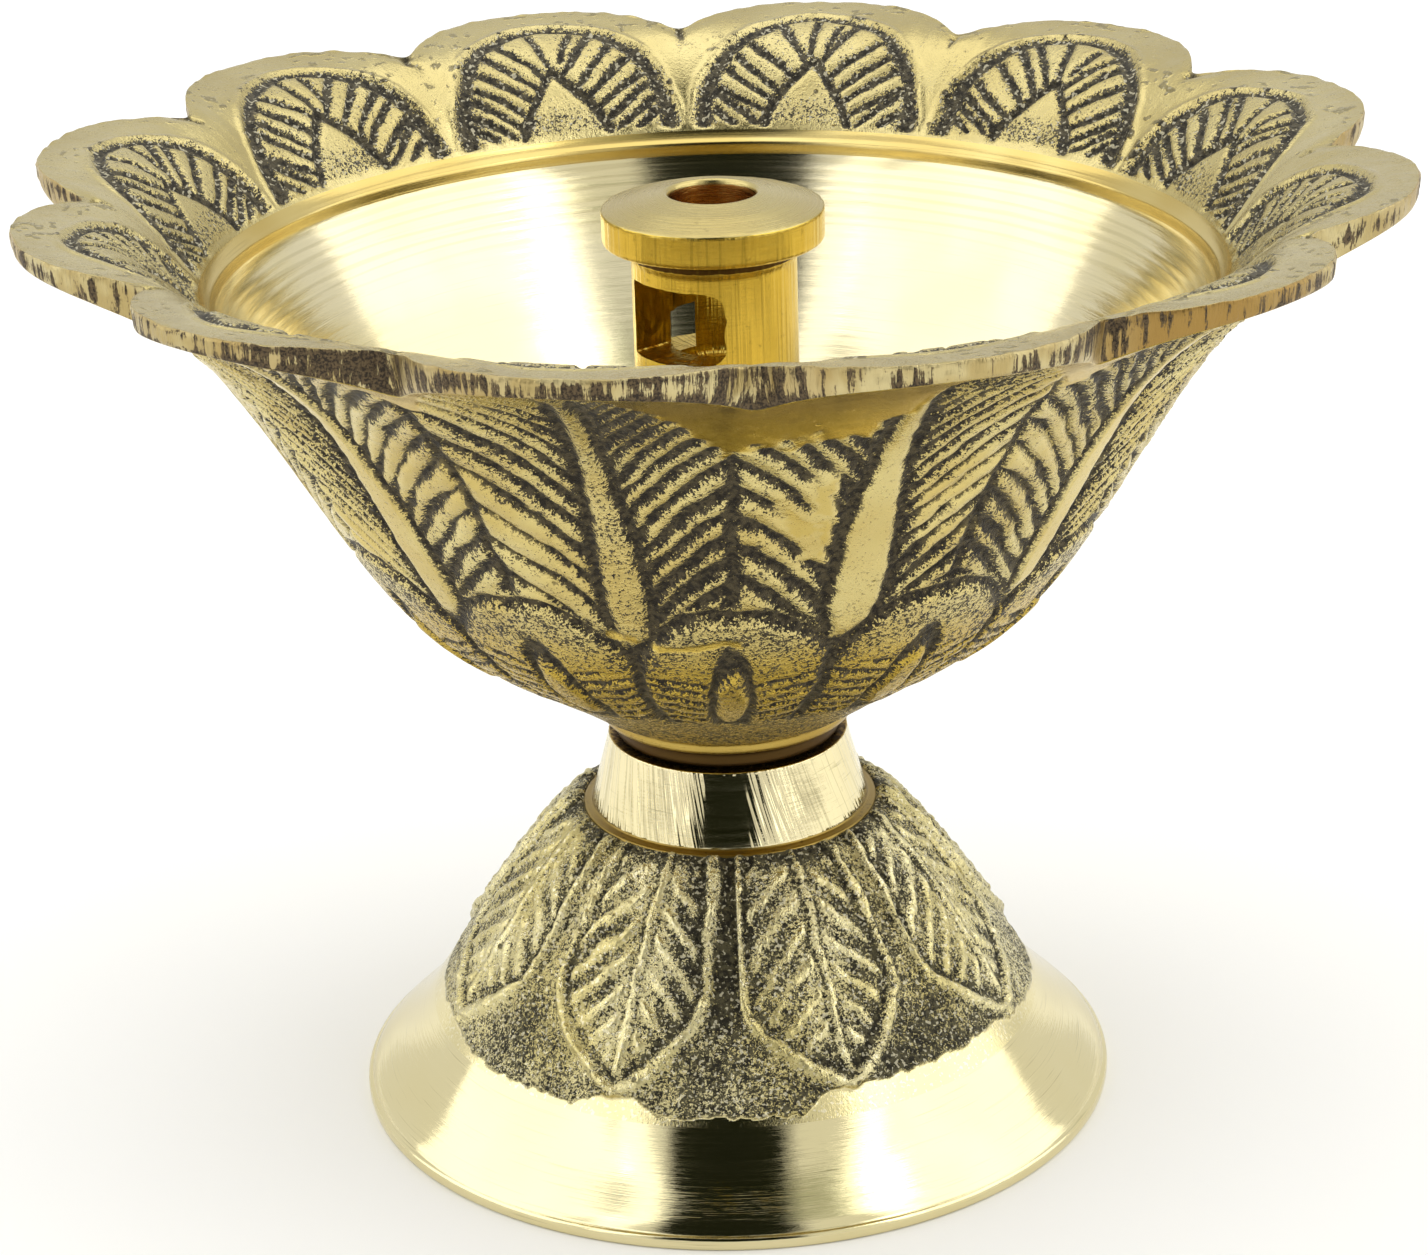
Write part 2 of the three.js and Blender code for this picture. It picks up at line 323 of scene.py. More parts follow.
def cast_brass(name, light, deep, patina, patina_light, rough=0.27, grain=1.0, speck=1.0, mottle=0.0, gold=None, size=1.0, shine=0.18, glint=0.0):
    """Cast and hand-finished brass: bright high spots, and granular dark patina wherever cav is high."""
    m = Nodes(name)
    cav, pol = m.attr("cav"), m.attr("pol")
    rest = m.math("SUBTRACT", 1.0, pol, clamp=True)
    fine = m.noise(4300 * size, 2.0, 0.6)
    finer = m.noise(9500 * size, 2.0, 0.6)
    broad = m.noise(260, 3.0, 0.55)
    # patina gathers in the recesses with a grainy edge
    level = m.math("MULTIPLY_ADD", m.math("SUBTRACT", fine, 0.5), 2.1 * speck, cav)
    level = m.math("MULTIPLY_ADD", m.math("SUBTRACT", finer, 0.5), 2.0 * speck, level)
    level = m.math("MULTIPLY_ADD", m.math("SUBTRACT", broad, 0.5), 0.45 + mottle, level)
    dark = m.math("MULTIPLY", m.ramp(level, 0.44, 0.54), rest)
    # stray pits
    dist, rnd = m.cells(800)
    sep = m.t.nodes.new("ShaderNodeSeparateColor")
    m.put(sep.inputs[0], rnd)
    pit = m.math("MULTIPLY", m.math("MULTIPLY", m.ramp(sep.outputs[0], 0.88, 0.92), m.ramp(dist, 0.20, 0.10)), rest)
    dark = m.math("MAXIMUM", dark, m.math("MULTIPLY", pit, 0.8))
    tone = m.ramp(m.noise(120, 2.0, 0.5), 0.35, 0.68)
    brass = m.mix(tone, light, deep)
    if gold:
        golden = m.math("MAXIMUM", m.math("MULTIPLY", m.ramp(pol, 0.45, 0.95), 0.6), m.attr("tint"))
        brass = m.mix(golden, brass, gold)
    soot = m.mix(m.ramp(m.noise(1900, 3.0, 0.6), 0.40, 0.62), patina, patina_light)
    color = m.mix(dark, brass, soot)
    rub = m.ramp(m.noise(900, 3.0, 0.6), 0.3, 0.75, rough - 0.06, rough + 0.10)
    rub = m.math("MULTIPLY", rub, m.math("MULTIPLY_ADD", pol, shine / rough - 1.0, 1.0))
    if glint:
        # painted highlight: single grains turned pale, standing in for specular sparkles
        painted_glint = m.math("MULTIPLY", m.ramp(m.noise(3600 * size, 1.0, 0.5), 0.60, 0.66), abs(glint))
        if glint < 0:
            painted_glint = m.math("MULTIPLY", painted_glint, dark)
        color = m.mix(painted_glint, color, (0.86, 0.80, 0.58))
    roughness = m.math("MULTIPLY_ADD", dark, 0.30, rub)
    metal = m.math("MULTIPLY_ADD", dark, -0.50, 1.0)
    sand = m.math("ADD", m.math("MULTIPLY", fine, 0.6), m.math("MULTIPLY", finer, 0.4))
    amount = m.math("MULTIPLY", m.math("MULTIPLY_ADD", cav, 0.80, 0.16), rest)
    height = m.math("MULTIPLY", sand, amount)
    height = m.math("SUBTRACT", height, m.math("MULTIPLY", pit, 0.35))
    n1 = m.bump(height, 0.00034 * grain, 1.0)
    # faint scratches left by hand polishing
    scratch = m.noise(1.0, 3.0, 0.7, m.stretch(5200, 5200, 620))
    n2 = m.bump(scratch, 0.000018, 1.0, n1)
    return m.finish(color, roughness, metal, n2)


def turned_brass(name, light, deep, rough=0.2, rings=1.0, chatter=0.0, tint_noise=0.5, ring_scale=5.0, twist=0.0, broad_rings=0.0, stain=0.0, lean=-0.83, chatter_pitch=26.0, grime_and_shade=(0.10, 0.07, 0.03), lip_rings=None, ring_lines=0.22):
    """Lathe-turned brass: fine rings round the axis, with a little chatter across them."""
    m = Nodes(name)
    cav = m.attr("cav")
    ring = m.noise(1.0, 4.0, 0.72, m.polar(0.9, 0.0, ring_scale, lean))
    ring2 = m.noise(1.0, 2.0, 0.6, m.polar(3.2, 0.0, ring_scale * 2.6, lean))
    tone = m.ramp(m.noise(90, 2.0, 0.5), 0.35, 0.65)
    color = m.mix(m.math("MULTIPLY", tone, tint_noise), light, deep)
    line = m.ramp(ring2, 0.62, 0.74)
    color = m.mix(m.math("MULTIPLY", line, ring_lines), color, tuple(0.45 * v for v in deep))
    fleck = m.noise(1500, 4.0, 0.7)
    if stain:
        spot = m.math("MULTIPLY", m.ramp(fleck, 0.60, 0.70), stain)
        color = m.mix(spot, color, grime_and_shade)
    # where cav is high the colour turns to grime_and_shade: real patina on the foot, painted shade in the bowl neck,
    # the collar mouth and under the wick-holder flange
    dirt_and_shade = m.ramp(m.math("MULTIPLY_ADD", m.math("SUBTRACT", fleck, 0.5), 0.9, cav), 0.42, 0.62)
    color = m.mix(dirt_and_shade, color, grime_and_shade)
    roughness = m.math("MULTIPLY_ADD", dirt_and_shade, 0.22, m.ramp(ring, 0.3, 0.7, rough - 0.03, rough + 0.05))
    height = m.math("ADD", ring, m.math("MULTIPLY", ring2, 0.5))
    n = m.bump(height, 0.000020 * rings, 1.0)
    if lip_rings:
        level = m.split(m.polar(1.0, 0.0, 1.0, lean))
        wobble = m.math("MULTIPLY", m.noise(1.0, 2.0, 0.5, m.polar(1.4, 0.0, 0.55, lean)), 9.0)
        wave = m.math("SINE", m.math("MULTIPLY_ADD", level, 5.6, wobble))
        wave = m.math("MULTIPLY", wave, m.ramp(level, *lip_rings))
        n = m.bump(wave, 0.0000045, 1.0, n)
        color = m.mix(m.math("MULTIPLY", m.ramp(wave, 0.1, 0.9), 0.30), color, tuple(0.62 * v for v in deep))
    if broad_rings:
        wide = m.noise(1.0, 1.0, 0.5, m.polar(1.6, 0.0, ring_scale * 0.22, lean))
        n = m.bump(wide, 0.00012 * broad_rings, 1.0, n)
    if chatter:
        across = m.noise(1.0, 1.5, 0.5, m.polar(chatter_pitch, twist, 0.10, lean))
        loose = m.math("SUBTRACT", 1.0, m.attr("pol"), clamp=True)
        n = m.bump(across, 0.00006 * chatter, loose, n)
        lines = m.noise(1.0, 1.5, 0.5, m.polar(chatter_pitch * 1.7, twist, 0.10, lean))
        worn = m.math("MULTIPLY", m.math("MULTIPLY", m.ramp(lines, 0.52, 0.66), loose), min(0.17 * chatter, 0.42))
        color = m.mix(worn, color, tuple(0.30 * v for v in deep))
    scratch = m.noise(1.0, 3.0, 0.7, m.stretch(500, 900, 5200))
    n = m.bump(scratch, 0.000006, 1.0, n)
    return m.finish(color, roughness, 1.0, n)


def filed_brass(name):
    """The rim edge: file marks across the thickness, with brown scale left between them."""
    m = Nodes(name)
    cav = m.attr("cav")
    marks = m.noise(1.0, 4.0, 0.7, m.stretch(2600, 2600, 150))
    coarse = m.noise(1.0, 2.0, 0.6, m.stretch(900, 900, 120))
    grit = m.noise(5200, 2.0, 0.6)
    level = m.math("MULTIPLY_ADD", m.math("SUBTRACT", marks, 0.5), 3.0, cav)
    level = m.math("MULTIPLY_ADD", m.math("SUBTRACT", coarse, 0.5), 1.9, level)
    level = m.math("MULTIPLY_ADD", m.math("SUBTRACT", grit, 0.5), 0.7, level)
    dark = m.ramp(level, 0.36, 0.66)
    brass = m.mix(m.ramp(m.noise(420, 2.0, 0.5), 0.38, 0.62), (0.56, 0.47, 0.24), (0.44, 0.34, 0.145))
    brass = m.mix(m.attr("tint"), brass, (0.330, 0.205, 0.060))
    soot = m.mix(m.ramp(grit, 0.4, 0.6), (0.030, 0.020, 0.010), (0.125, 0.085, 0.040))
    color = m.mix(dark, brass, soot)
    roughness = m.math("MULTIPLY_ADD", dark, 0.30, 0.32)
    metal = m.math("MULTIPLY_ADD", dark, -0.5, 1.0)
    height = m.math("ADD", m.math("MULTIPLY", marks, 0.7), m.math("MULTIPLY", coarse, 0.5))
    n = m.bump(height, 0.00026, 1.0)
    return m.finish(color, roughness, metal, n)


def milled_brass(name):
    """Inside the window: torn, oxidised cutter marks."""
    m = Nodes(name)
    fine = m.noise(3000, 3.0, 0.65)
    marks = m.noise(1.0, 3.0, 0.6, m.stretch(1500, 1500, 3600))
    dark = m.ramp(m.math("MULTIPLY_ADD", marks, 0.5, m.math("MULTIPLY", fine, 0.6)), 0.60, 0.53)
    color = m.mix(dark, (0.42, 0.22, 0.065), (0.036, 0.018, 0.008))
    roughness = m.math("MULTIPLY_ADD", dark, 0.25, 0.34)
    n = m.bump(m.math("ADD", fine, marks), 0.00026, 1.0)
    return m.finish(color, roughness, 0.9, n)


PALE = (0.720, 0.620, 0.310)
PALE_DEEP = (0.590, 0.470, 0.180)
GOLD = (0.640, 0.485, 0.105)
GOLD_DEEP = (0.520, 0.370, 0.060)
BRIGHT = (0.755, 0.680, 0.450)
SOOT = (0.018, 0.013, 0.006)
SOOT_LIGHT = (0.085, 0.066, 0.032)

M_BOWL_OUT = cast_brass("bowl_outside_cast", (0.690, 0.580, 0.250), (0.590, 0.460, 0.160), SOOT, SOOT_LIGHT, rough=0.25, grain=1.25, gold=(0.570, 0.395, 0.050), size=0.72)
M_PETAL = cast_brass("petal_face_engraved", (0.590, 0.500, 0.232), (0.515, 0.425, 0.180), (0.030, 0.026, 0.018), (0.105, 0.090, 0.056), rough=0.25, grain=1.1, speck=0.75, gold=(0.460, 0.370, 0.130), size=0.8, glint=-0.55)
M_RIM = filed_brass("rim_edge_filed")
M_STEP = turned_brass("step_turned", (0.640, 0.510, 0.200), (0.500, 0.350, 0.080), rough=0.2, rings=0.8, ring_scale=6.0)
M_INSIDE = turned_brass("bowl_inside_turned", BRIGHT, PALE, rough=0.13, rings=0.40, ring_scale=3.0, broad_rings=0.35, lean=0.83, lip_rings=(82.5, 89.0))
M_RING = turned_brass("bowl_ring_turned", (0.470, 0.330, 0.080), (0.330, 0.205, 0.040), rough=0.24, rings=1.0, stain=0.5, grime_and_shade=(0.085, 0.048, 0.014))
M_BASE_CAST = cast_brass("base_cast", (0.690, 0.620, 0.350), (0.560, 0.480, 0.210), (0.020, 0.017, 0.008), (0.100, 0.088, 0.044), rough=0.27, grain=1.7, speck=1.05, mottle=0.25, size=0.92, gold=(0.80, 0.70, 0.38), shine=0.10, glint=0.6)
M_LEDGE = turned_brass("ledge_turned", (0.330, 0.230, 0.060), (0.240, 0.160, 0.040), rough=0.30, rings=0.8, stain=0.7)
M_FOOT = turned_brass("foot_turned", (0.765, 0.685, 0.410), PALE, rough=0.080, rings=0.60, ring_scale=3.2, tint_noise=0.35, ring_lines=0.42)
M_COLLAR = turned_brass("collar_turned", (0.800, 0.710, 0.440), PALE, rough=0.080, rings=0.20, chatter=1.9, ring_scale=2.4, twist=0.019, stain=0.15, tint_noise=0.35, chatter_pitch=26.0, ring_lines=0.50)
M_BORE = turned_brass("bore_drilled", (0.560, 0.300, 0.085), (0.390, 0.180, 0.040), rough=0.26, rings=1.4)
M_UNDER = cast_brass("base_underside_cast", (0.52, 0.42, 0.19), (0.42, 0.31, 0.12), SOOT, SOOT_LIGHT, rough=0.42, grain=1.6, speck=1.1, mottle=0.3)
M_THREAD = turned_brass("thread_cut", GOLD, GOLD_DEEP, rough=0.24, rings=1.2)
M_HOLDER = turned_brass("holder_turned", (0.620, 0.460, 0.095), (0.500, 0.345, 0.055), rough=0.20, rings=0.8, chatter=1.6, ring_scale=7.0, stain=0.3, chatter_pitch=16.0, grime_and_shade=(0.075, 0.040, 0.012))
M_HOLDER_TOP = turned_brass("holder_top_turned", (0.540, 0.450, 0.190), (0.460, 0.350, 0.120), rough=0.27, rings=1.5, stain=0.35, grime_and_shade=(0.20, 0.14, 0.05))
M_MILLED = milled_brass("window_milled")
HOLDER_SLOTS = [M_HOLDER, M_HOLDER_TOP, M_BORE, M_MILLED]

# ---------------------------------------------------------------- the bowl

PETALS, NOTCH0 = 12, 3.0
RIM_TIP_R, RIM_NOTCH_R, ROUND = 50.0, 44.4, 2.7
ROOT_R = 37.1
FACE = np.array([[37.1, 65.2], [38.8, 67.3], [40.8, 69.4], [42.6, 70.85], [44.4, 71.7], [47.2, 72.25], [50.0, 72.6], [50.6, 72.65]])
OUTSIDE = [[9.55, 31.1], [10.9, 31.8], [13.5, 33.7], [16.4, 35.5], [19.4, 37.6], [22.0, 39.6], [24.3, 41.8], [26.2, 44.2],
           [28.7, 48.1], [31.0, 52.1], [33.0, 55.6], [34.8, 58.5], [36.75, 61.5], [38.6, 63.8], [41.0, 66.2], [43.9, 68.5],
           [47.3, 70.3], [50.6, 71.55]]
face_p = chaikin(FACE, 3)
out_p = chaikin(OUTSIDE, 3)
face_s, out_s = lengths(face_p) + 1.28, lengths(out_p)   # the face starts after the turned step


def rim_radius(th):
    a = (th - NOTCH0) % (360 / PETALS)
    k = np.floor((th - NOTCH0) / (360 / PETALS)).astype(int) % PETALS
    half = 180 / PETALS
    u = np.abs(a - half) / half
    tip = RIM_TIP_R - 0.05 + 0.16 * (lattice(k, k * 0, 5) - 1)
    # the bottom of each notch is rounded
    v = np.sqrt((1 - u) ** 2 + 0.065**2) - 0.040
    return RIM_NOTCH_R + (tip - RIM_NOTCH_R) * (1 - np.clip(1 - v, 0, 1) ** ROUND)


def bowl_outside(th, s, r, rim_gap):
    """Relief of the outside. Returns height in millimetres, patina and polish from 0 to 1."""
    wob_x = 0.22 * ring_noise(th, s, 5.0, 3.0, 11) + 0.14 * ring_noise(th, s, 2.0, 1.1, 12)
    wob_s = 0.30 * ring_noise(th, s, 5.0, 3.0, 13) + 0.16 * ring_noise(th, s, 2.0, 1.1, 14)
    k = np.round((th - 271.0) / 30.0).astype(int) % 12
    jit = lambda seed: lattice(k, k * 0 + 3, seed) * 2 - 1
    u = wrap_deg(th - 271.0, 30.0)                        # degrees from the middle of the leaf
    mm = np.radians(1.0) * r
    x = u * mm + wob_x + 0.15 * jit(21) * (k != 0)
    y = s + wob_s
    wear = ring_noise(th, s, 9.0, 7.0, 41, 2)
    fray = ring_noise(th, s, 1.5, 0.8, 42, 2)
    # spears between the leaves
    ks = np.round((th - 287.0) / 30.0).astype(int) % 12
    width = np.select([ks == 0, ks == 11], [1.0, 0.72], 0.86 + 0.18 * (lattice(ks, ks * 0 + 9, 31) * 2 - 1))
    xs = wrap_deg(th - 287.3, 30.0) * mm + 0.7 * wob_x
    ws = np.interp(y, [24.2, 25.2, 27, 30, 34, 38, 42, 46, 50.0], [0.9, 1.15, 1.42, 1.62, 1.58, 1.20, 0.78, 0.66, 0.50]) * width
    spear_on = smooth(23.9, 24.7, y)
    gap = np.abs(xs) - ws
    spear = smooth(0.12, -0.12, gap) * spear_on
    spear_cut = cut(gap - 0.50 - 0.12 * wear, 0.74 + 0.22 * fray) * spear_on
    # veins, falling outward from the midrib
    ax = np.abs(x)
    right = x > 0
    side = np.where(right, 0.5 * (lattice(k, k * 0 + 1, 23) > 0.35), 0.0)
    pitch = 2.55 * (1 + 0.06 * jit(22))
    pitch = np.where((k == 11) & right, 3.7, np.where((k == 0) & right, 3.1, np.where(k == 0, 2.62, pitch)))
    slope = np.where(right, 0.62 + 0.12 * jit(24), 0.72 + 0.12 * jit(29))
    q = (y + slope * ax + 0.075 * ax * ax) / pitch + side + 0.5 * jit(25)
    qi = np.round(q)
    dv = np.abs(q - qi) * pitch / np.sqrt(1 + (slope + 0.15 * ax) ** 2)
    front = np.exp(-((wrap_deg(th - 280.5, 360) / 7.5) ** 2)) * smooth(29, 33, s) * smooth(54, 49, s)
    which = lattice(qi.astype(int), k + 20 * right, 26)
    vein_w = np.clip(0.74 + 0.22 * wear + 0.28 * (which - 0.5) + 0.16 * fray + 0.04 * (k == 0) * ~right, 0.42, 1.10)
    # rubbed patches, where the veins are thinner
    rubbed = smooth(0.12, 0.45, ring_noise(th, s, 7.0, 5.0, 43, 2)) * (k != 0)
    flank = np.exp(-((wrap_deg(th - 212.0, 360) / 14.0) ** 2)) + np.exp(-((wrap_deg(th - 331.0, 360) / 14.0) ** 2))
    vein_w = vein_w * (1 - 0.38 * rubbed) * (1 - 0.32 * flank)
    # on the front right the veins are worn away towards the spear
    worn = np.where((k == 0) & right, smooth(2.3 + 3.4 * which, 3.6 + 3.4 * which, ax + 0.9 * fray) * smooth(31, 33.0, y + fray) * smooth(42.0, 40.5, y + fray) * smooth(282.8, 281.6, th + 0.6 * fray), 0.0)
    arch = 27.3 - 5.2 * np.abs(u / 14.6) ** 2.3
    over = y - arch
    leaf_on = smooth(0.5, 1.2, over) * smooth(0.15, 0.55, gap)
    vein = cut(dv, vein_w) * leaf_on * (1 - worn)
    midrib = cut(x, 0.80 + 0.14 * wear + 0.20 * fray) * smooth(0.2, 1.0, over)
    # arch over each lobe and the wall between lobes
    arch_slope = 5.2 * 2.3 / 14.6 * np.abs(u / 14.6) ** 1.3 / np.maximum(mm, 0.1)
    norm = np.sqrt(1 + arch_slope**2)
    arch_cut = cut(np.abs(over) / norm, 0.92 + 0.16 * wear + 0.22 * fray)
    xb = wrap_deg(th - 286.0, 30.0) * mm + wob_x
    wall = cut(xb, 0.80 + 0.2 * fray) * smooth(24.6, 22.5, y) * smooth(8.6, 10.4, y)
    inside = smooth(-0.25, -0.9, over) * smooth(8.2, 10.2, y)
    eye = np.sqrt((x / 0.98) ** 2 + ((y - 15.8) / 4.2) ** 2) - 1
    eye_on = smooth(0.10, -0.14, eye) * inside
    eye_cut = cut((eye - 0.52) * 1.2, 0.62) * inside
    # fine, nearly level strokes either side of the eye
    hq = (y - 0.30 * ax) / 1.45 + 0.5 * jit(27)
    dh = np.abs(hq - np.round(hq)) * 1.45
    hatch = 0.8 * cut(dh, np.clip(0.44 + 0.14 * wear + 0.34 * fray, 0.12, 0.8)) * inside * smooth(1.75, 2.1, ax) * smooth(9.8, 11.0, y) * smooth(20.6, 19.4, y + 0.9 * wear)
    # plain band under the rim, deepest at the front notch
    un = wrap_deg(th - 271.5, 30.0)
    kn = np.round((th - 271.5) / 30.0).astype(int) % 12
    reach = np.where(kn == 0, np.where(un < 0, 8.5, 14.5), 3.0 + 3.0 * lattice(kn, kn * 0 + 5, 51))
    deep = np.where(kn == 0, 2.0, 1.4 + 2.0 * lattice(kn, kn * 0 + 6, 52))
    plain_depth = 1.0 + deep * np.clip(1 - (np.abs(un) / reach) ** 1.6, 0, 1) + 0.8 * wear + 0.5 * fray
    front_edge = np.interp(th, [258, 262.5, 266, 270.5, 272, 275, 284, 287.0, 290], [62, 54, 50, 44.8, 45.6, 46.6, 46.2, 49.0, 62])
    keep = smooth(-0.4, 0.7, np.minimum(rim_gap - plain_depth, front_edge - s - 1.3 * fray - 1.6 * wear))
    grooves = np.maximum.reduce([vein, spear_cut, midrib, arch_cut, wall, eye_cut, hatch]) * keep
    # height
    pillow = 0.20 * inside * (1 - np.clip(np.abs(u / 15.0), 0, 1) ** 2.5) + 0.20 * eye_on
    ridge = (0.08 + 0.08 * flank) * leaf_on * smooth(vein_w, vein_w + 0.5, dv)
    body = 0.035 * ring_noise(th, s, 3.2, 2.0, 61, 3)
    h = keep * (pillow + ridge + 0.08 * spear) - (0.34 + 0.10 * wear) * grooves + body
    # lower bowl grows plain and grainy
    low = smooth(11.5, 8.5, y)
    rough_low = low * smooth(0.3, 1.4, s)
    band = smooth(-0.6, -1.4, over) * smooth(-4.2, -3.0, over)
    fuzzy = np.where(ks == 11, 1.0, 0.5 * lattice(ks, ks * 0 + 2, 33))
    cav = grooves * 0.95 + 0.20 * leaf_on * keep * smooth(-0.3, 0.6, wear) + 0.20 * inside + 0.36 * rough_low
    cav = cav + 0.16 * band * inside + 0.08 * (1 - spear) * keep + 0.12 * smooth(-0.2, 0.5, fray) * keep
    cav = cav + 0.22 * spear * fuzzy
    cav = cav + 0.30 * smooth(1.9, 0.6, gap) * leaf_on * keep * (1 - rubbed) - 0.12 * rubbed * leaf_on - 0.14 * flank * leaf_on
    # dark granular strip between the worn patch and the spear
    cav = cav + 0.34 * smooth(281.6, 282.8, th) * smooth(286.0, 285.0, th) * smooth(29, 31, y) * smooth(48, 45, y) * (1 - spear)
    cav = cav - 0.22 * front * (1 - grooves) - 0.20 * worn - 0.15 * (1 - keep) - 0.06 * eye_on
    pol = np.clip(0.90 * spear * (1 - fuzzy) * smooth(-0.9, 0.1, 0.6 - wear) + 0.85 * (1 - keep) + 0.75 * worn * smooth(-0.5, 0.3, 0.3 - fray) + 0.55 * rubbed * leaf_on * smooth(-0.5, 0.3, 0.2 - fray), 0, 1) * (1 - grooves)
    # golden streaks above the lobes
    streak = cut(y - 24.1 + 0.9 * np.abs(u / 14.6) ** 2, 0.75) * smooth(258, 260, th) * smooth(275, 272, th)
    streak = np.maximum(streak, cut(y - 24.4, 1.0) * smooth(252.6, 253.6, th) * smooth(258.6, 257.6, th))
    streak = streak * smooth(-0.5, 0.2, fray + 0.15)
    pol = np.maximum(pol, 0.7 * smooth(0.25, 0.8, streak))
    cav = cav * (1 - 0.5 * smooth(0.2, 0.8, streak))
    tint = np.clip(0.85 * smooth(25.5, 20.0, y) + 0.9 * (1 - keep) + 0.6 * smooth(0.2, 0.8, streak) + 0.25 * smooth(44, 52, s), 0, 1)
    return h, np.clip(cav, 0, 1.1), pol * (1 - rough_low), tint


def petal_face(th, s, r, rim_gap):
    """Engraving of the petal faces."""
    k = np.floor((th - NOTCH0) / 30.0).astype(int) % 12
    jit = lambda seed: lattice(k, k * 0 + 7, seed) * 2 - 1
    u0 = wrap_deg(th - 18.0, 30.0)
    wx = 0.20 * ring_noise(th, s, 4.0, 2.6, 71) + 0.09 * ring_noise(th, s, 1.6, 0.9, 72)
    wy = 0.20 * ring_noise(th, s, 4.0, 2.6, 73) + 0.09 * ring_noise(th, s, 1.6, 0.9, 74)
    mm = np.radians(1.0) * r
    x = u0 * mm + wx + 0.18 * jit(81)
    y = s + wy
    u = x / mm
    ax, au = np.abs(x), np.abs(u)
    wear = ring_noise(th, s, 7.0, 4.0, 75, 2)
    top = 12.75 + 0.25 * jit(82)
    fray = ring_noise(th, s, 1.2, 0.8, 77, 2)

    def outer(v):
        return np.interp(v, [1.4, 1.8, 4.0, 6.0, 8.0, 10.0, 11.0, 12.0, 12.5, 12.75], [12.9, 12.75, 12.0, 10.9, 9.25, 7.05, 5.5, 3.4, 1.8, 0.0])

    def inner(v):
        t = np.clip((v - 1.8) / 5.6, 0, 1)
        return 5.4 * (1 - t**1.3)

    # distance to the outer arch, by its implicit form
    t = np.clip((y - 1.6) / (top - 1.6), 1e-4, 3)
    f = (au / 12.8) ** 1.72 + t**1.85 - 1
    fx = 1.72 / 12.8 * np.maximum(au / 12.8, 1e-3) ** 0.72 / mm
    fy = 1.85 / (top - 1.6) * t**0.85
    d_out = f / np.sqrt(fx**2 + fy**2 + 1e-9)
    foot = smooth(1.20, 1.50, y)
    w_out = np.interp(y, [1.5, 3.5, 7.0, 10.0, 12.5], [1.34, 1.22, 1.08, 1.00, 0.90])
    arch = cut(d_out, w_out + 0.14 * wear + 0.14 * fray) * foot
    lip = cut(d_out - 0.95, 0.45) * foot
    ti = np.clip((y - 1.8) / 5.6, 1e-4, 3)
    g = au / 5.4 + ti**1.3 - 1
    gx, gy = 1 / 5.4 / mm, 1.3 / 5.6 * ti**0.3
    d_in = g / np.sqrt(gx**2 + gy**2)
    arch_in = cut(d_in, 0.66 + 0.10 * wear + 0.14 * fray) * foot
    between = smooth(0.0, 0.25, d_in) * smooth(-0.10, -0.40, d_out) * smooth(1.4, 1.8, y)
    # veins fan out from the inner arch
    veins = np.zeros_like(x)

    def stroke(x0, y0, x1, y1, w0, w1):
        dx, dy = x1 - x0, y1 - y0
        l2 = dx * dx + dy * dy
        q = ((x - x0) * dx + (y - y0) * dy) / l2
        qc = np.clip(q, 0, 1)
        d = np.hypot(x - x0 - qc * dx, y - y0 - qc * dy)
        return cut(d, (w0 + (w1 - w0) * qc) * (1 + 0.25 * fray))

    for sign in (-1, 1):
        for i in range(5):
            si = 2.5 + 1.10 * i + 0.12 * jit(90 + i)
            so = si + 2.55 + 0.36 * i + 0.30 * jit(95 + i)
            xi = sign * (inner(si) + 0.3) * mm
            xo = sign * (outer(so) - 0.9) * mm
            veins = np.maximum(veins, stroke(xi, si, xo, so, 0.42, 0.66))
        veins = np.maximum(veins, stroke(sign * 6.5 * mm, 1.8, sign * 11.0 * mm, (4.3 + 0.3 * jit(94)), 0.42, 0.64))
        veins = np.maximum(veins, stroke(sign * 9.0 * mm, 1.7, sign * 11.2 * mm, 2.9, 0.45, 0.66))
    veins = np.maximum(veins, stroke((0.3 + 0.4 * jit(99)) * mm, 8.0, (0.9 + 0.8 * jit(98)) * mm, 11.8, 0.44, 0.60))
    veins = np.maximum(veins, stroke((-1.6 + 0.5 * jit(89)) * mm, 8.3, (-2.6 + 0.5 * jit(88)) * mm, 11.2, 0.40, 0.55))
    veins = veins * between
    # pits and pinch marks inside each notch
    un = wrap_deg(th - NOTCH0, 30.0) * mm + 0.35 * wx - 0.22 * rim_gap * jit(83)
    pits = smooth(0.42, 0.56, ring_noise(th, s, 0.75, 0.50, 85)) * smooth(0.05, 0.40, ring_noise(th, s, 4.0, 2.4, 86)) * smooth(0.5, 0.9, d_out)
    crease = cut(un, 0.55 + 0.35 * fray) * smooth(3.4, 0.8, rim_gap) * smooth(-0.25, 0.25, fray + 0.1 * jit(84))
    grooves = np.maximum.reduce([arch, arch_in, veins, 0.9 * crease])
    stipple = smooth(0.3, -0.5, d_in) * smooth(5.4, 3.0, y) * smooth(1.4, 2.0, y)
    cushion = 0.14 * (1 - np.clip((un / 3.2) ** 2, 0, 1)) * smooth(0.2, 2.0, rim_gap) * smooth(3.0, 6.0, y)
    body = 0.020 * ring_noise(th, s, 3.0, 2.0, 76, 2)
    h = cushion + 0.12 * lip - (0.36 + 0.08 * wear) * grooves + body + 0.10 * smooth(0.2, -0.4, d_out) * between
    root = smooth(1.75, 1.30, y)
    cav = grooves * 1.0 + 0.42 * stipple + 0.16 * between + 0.22 * lip * smooth(-0.2, 0.4, fray) + 0.03 + 0.85 * pits
    cav = cav + 0.14 * smooth(-0.2, 0.5, ring_noise(th, s, 0.7, 4.0, 87)) * smooth(1.2, 2.2, d_out)
    cav = cav * (1 - 0.6 * root)
    pol = np.clip(0.44 * smooth(0.4, 1.2, d_out) - 0.3 * lip, 0, 1) * (1 - grooves)
    return h, np.clip(cav, 0, 1.1), pol


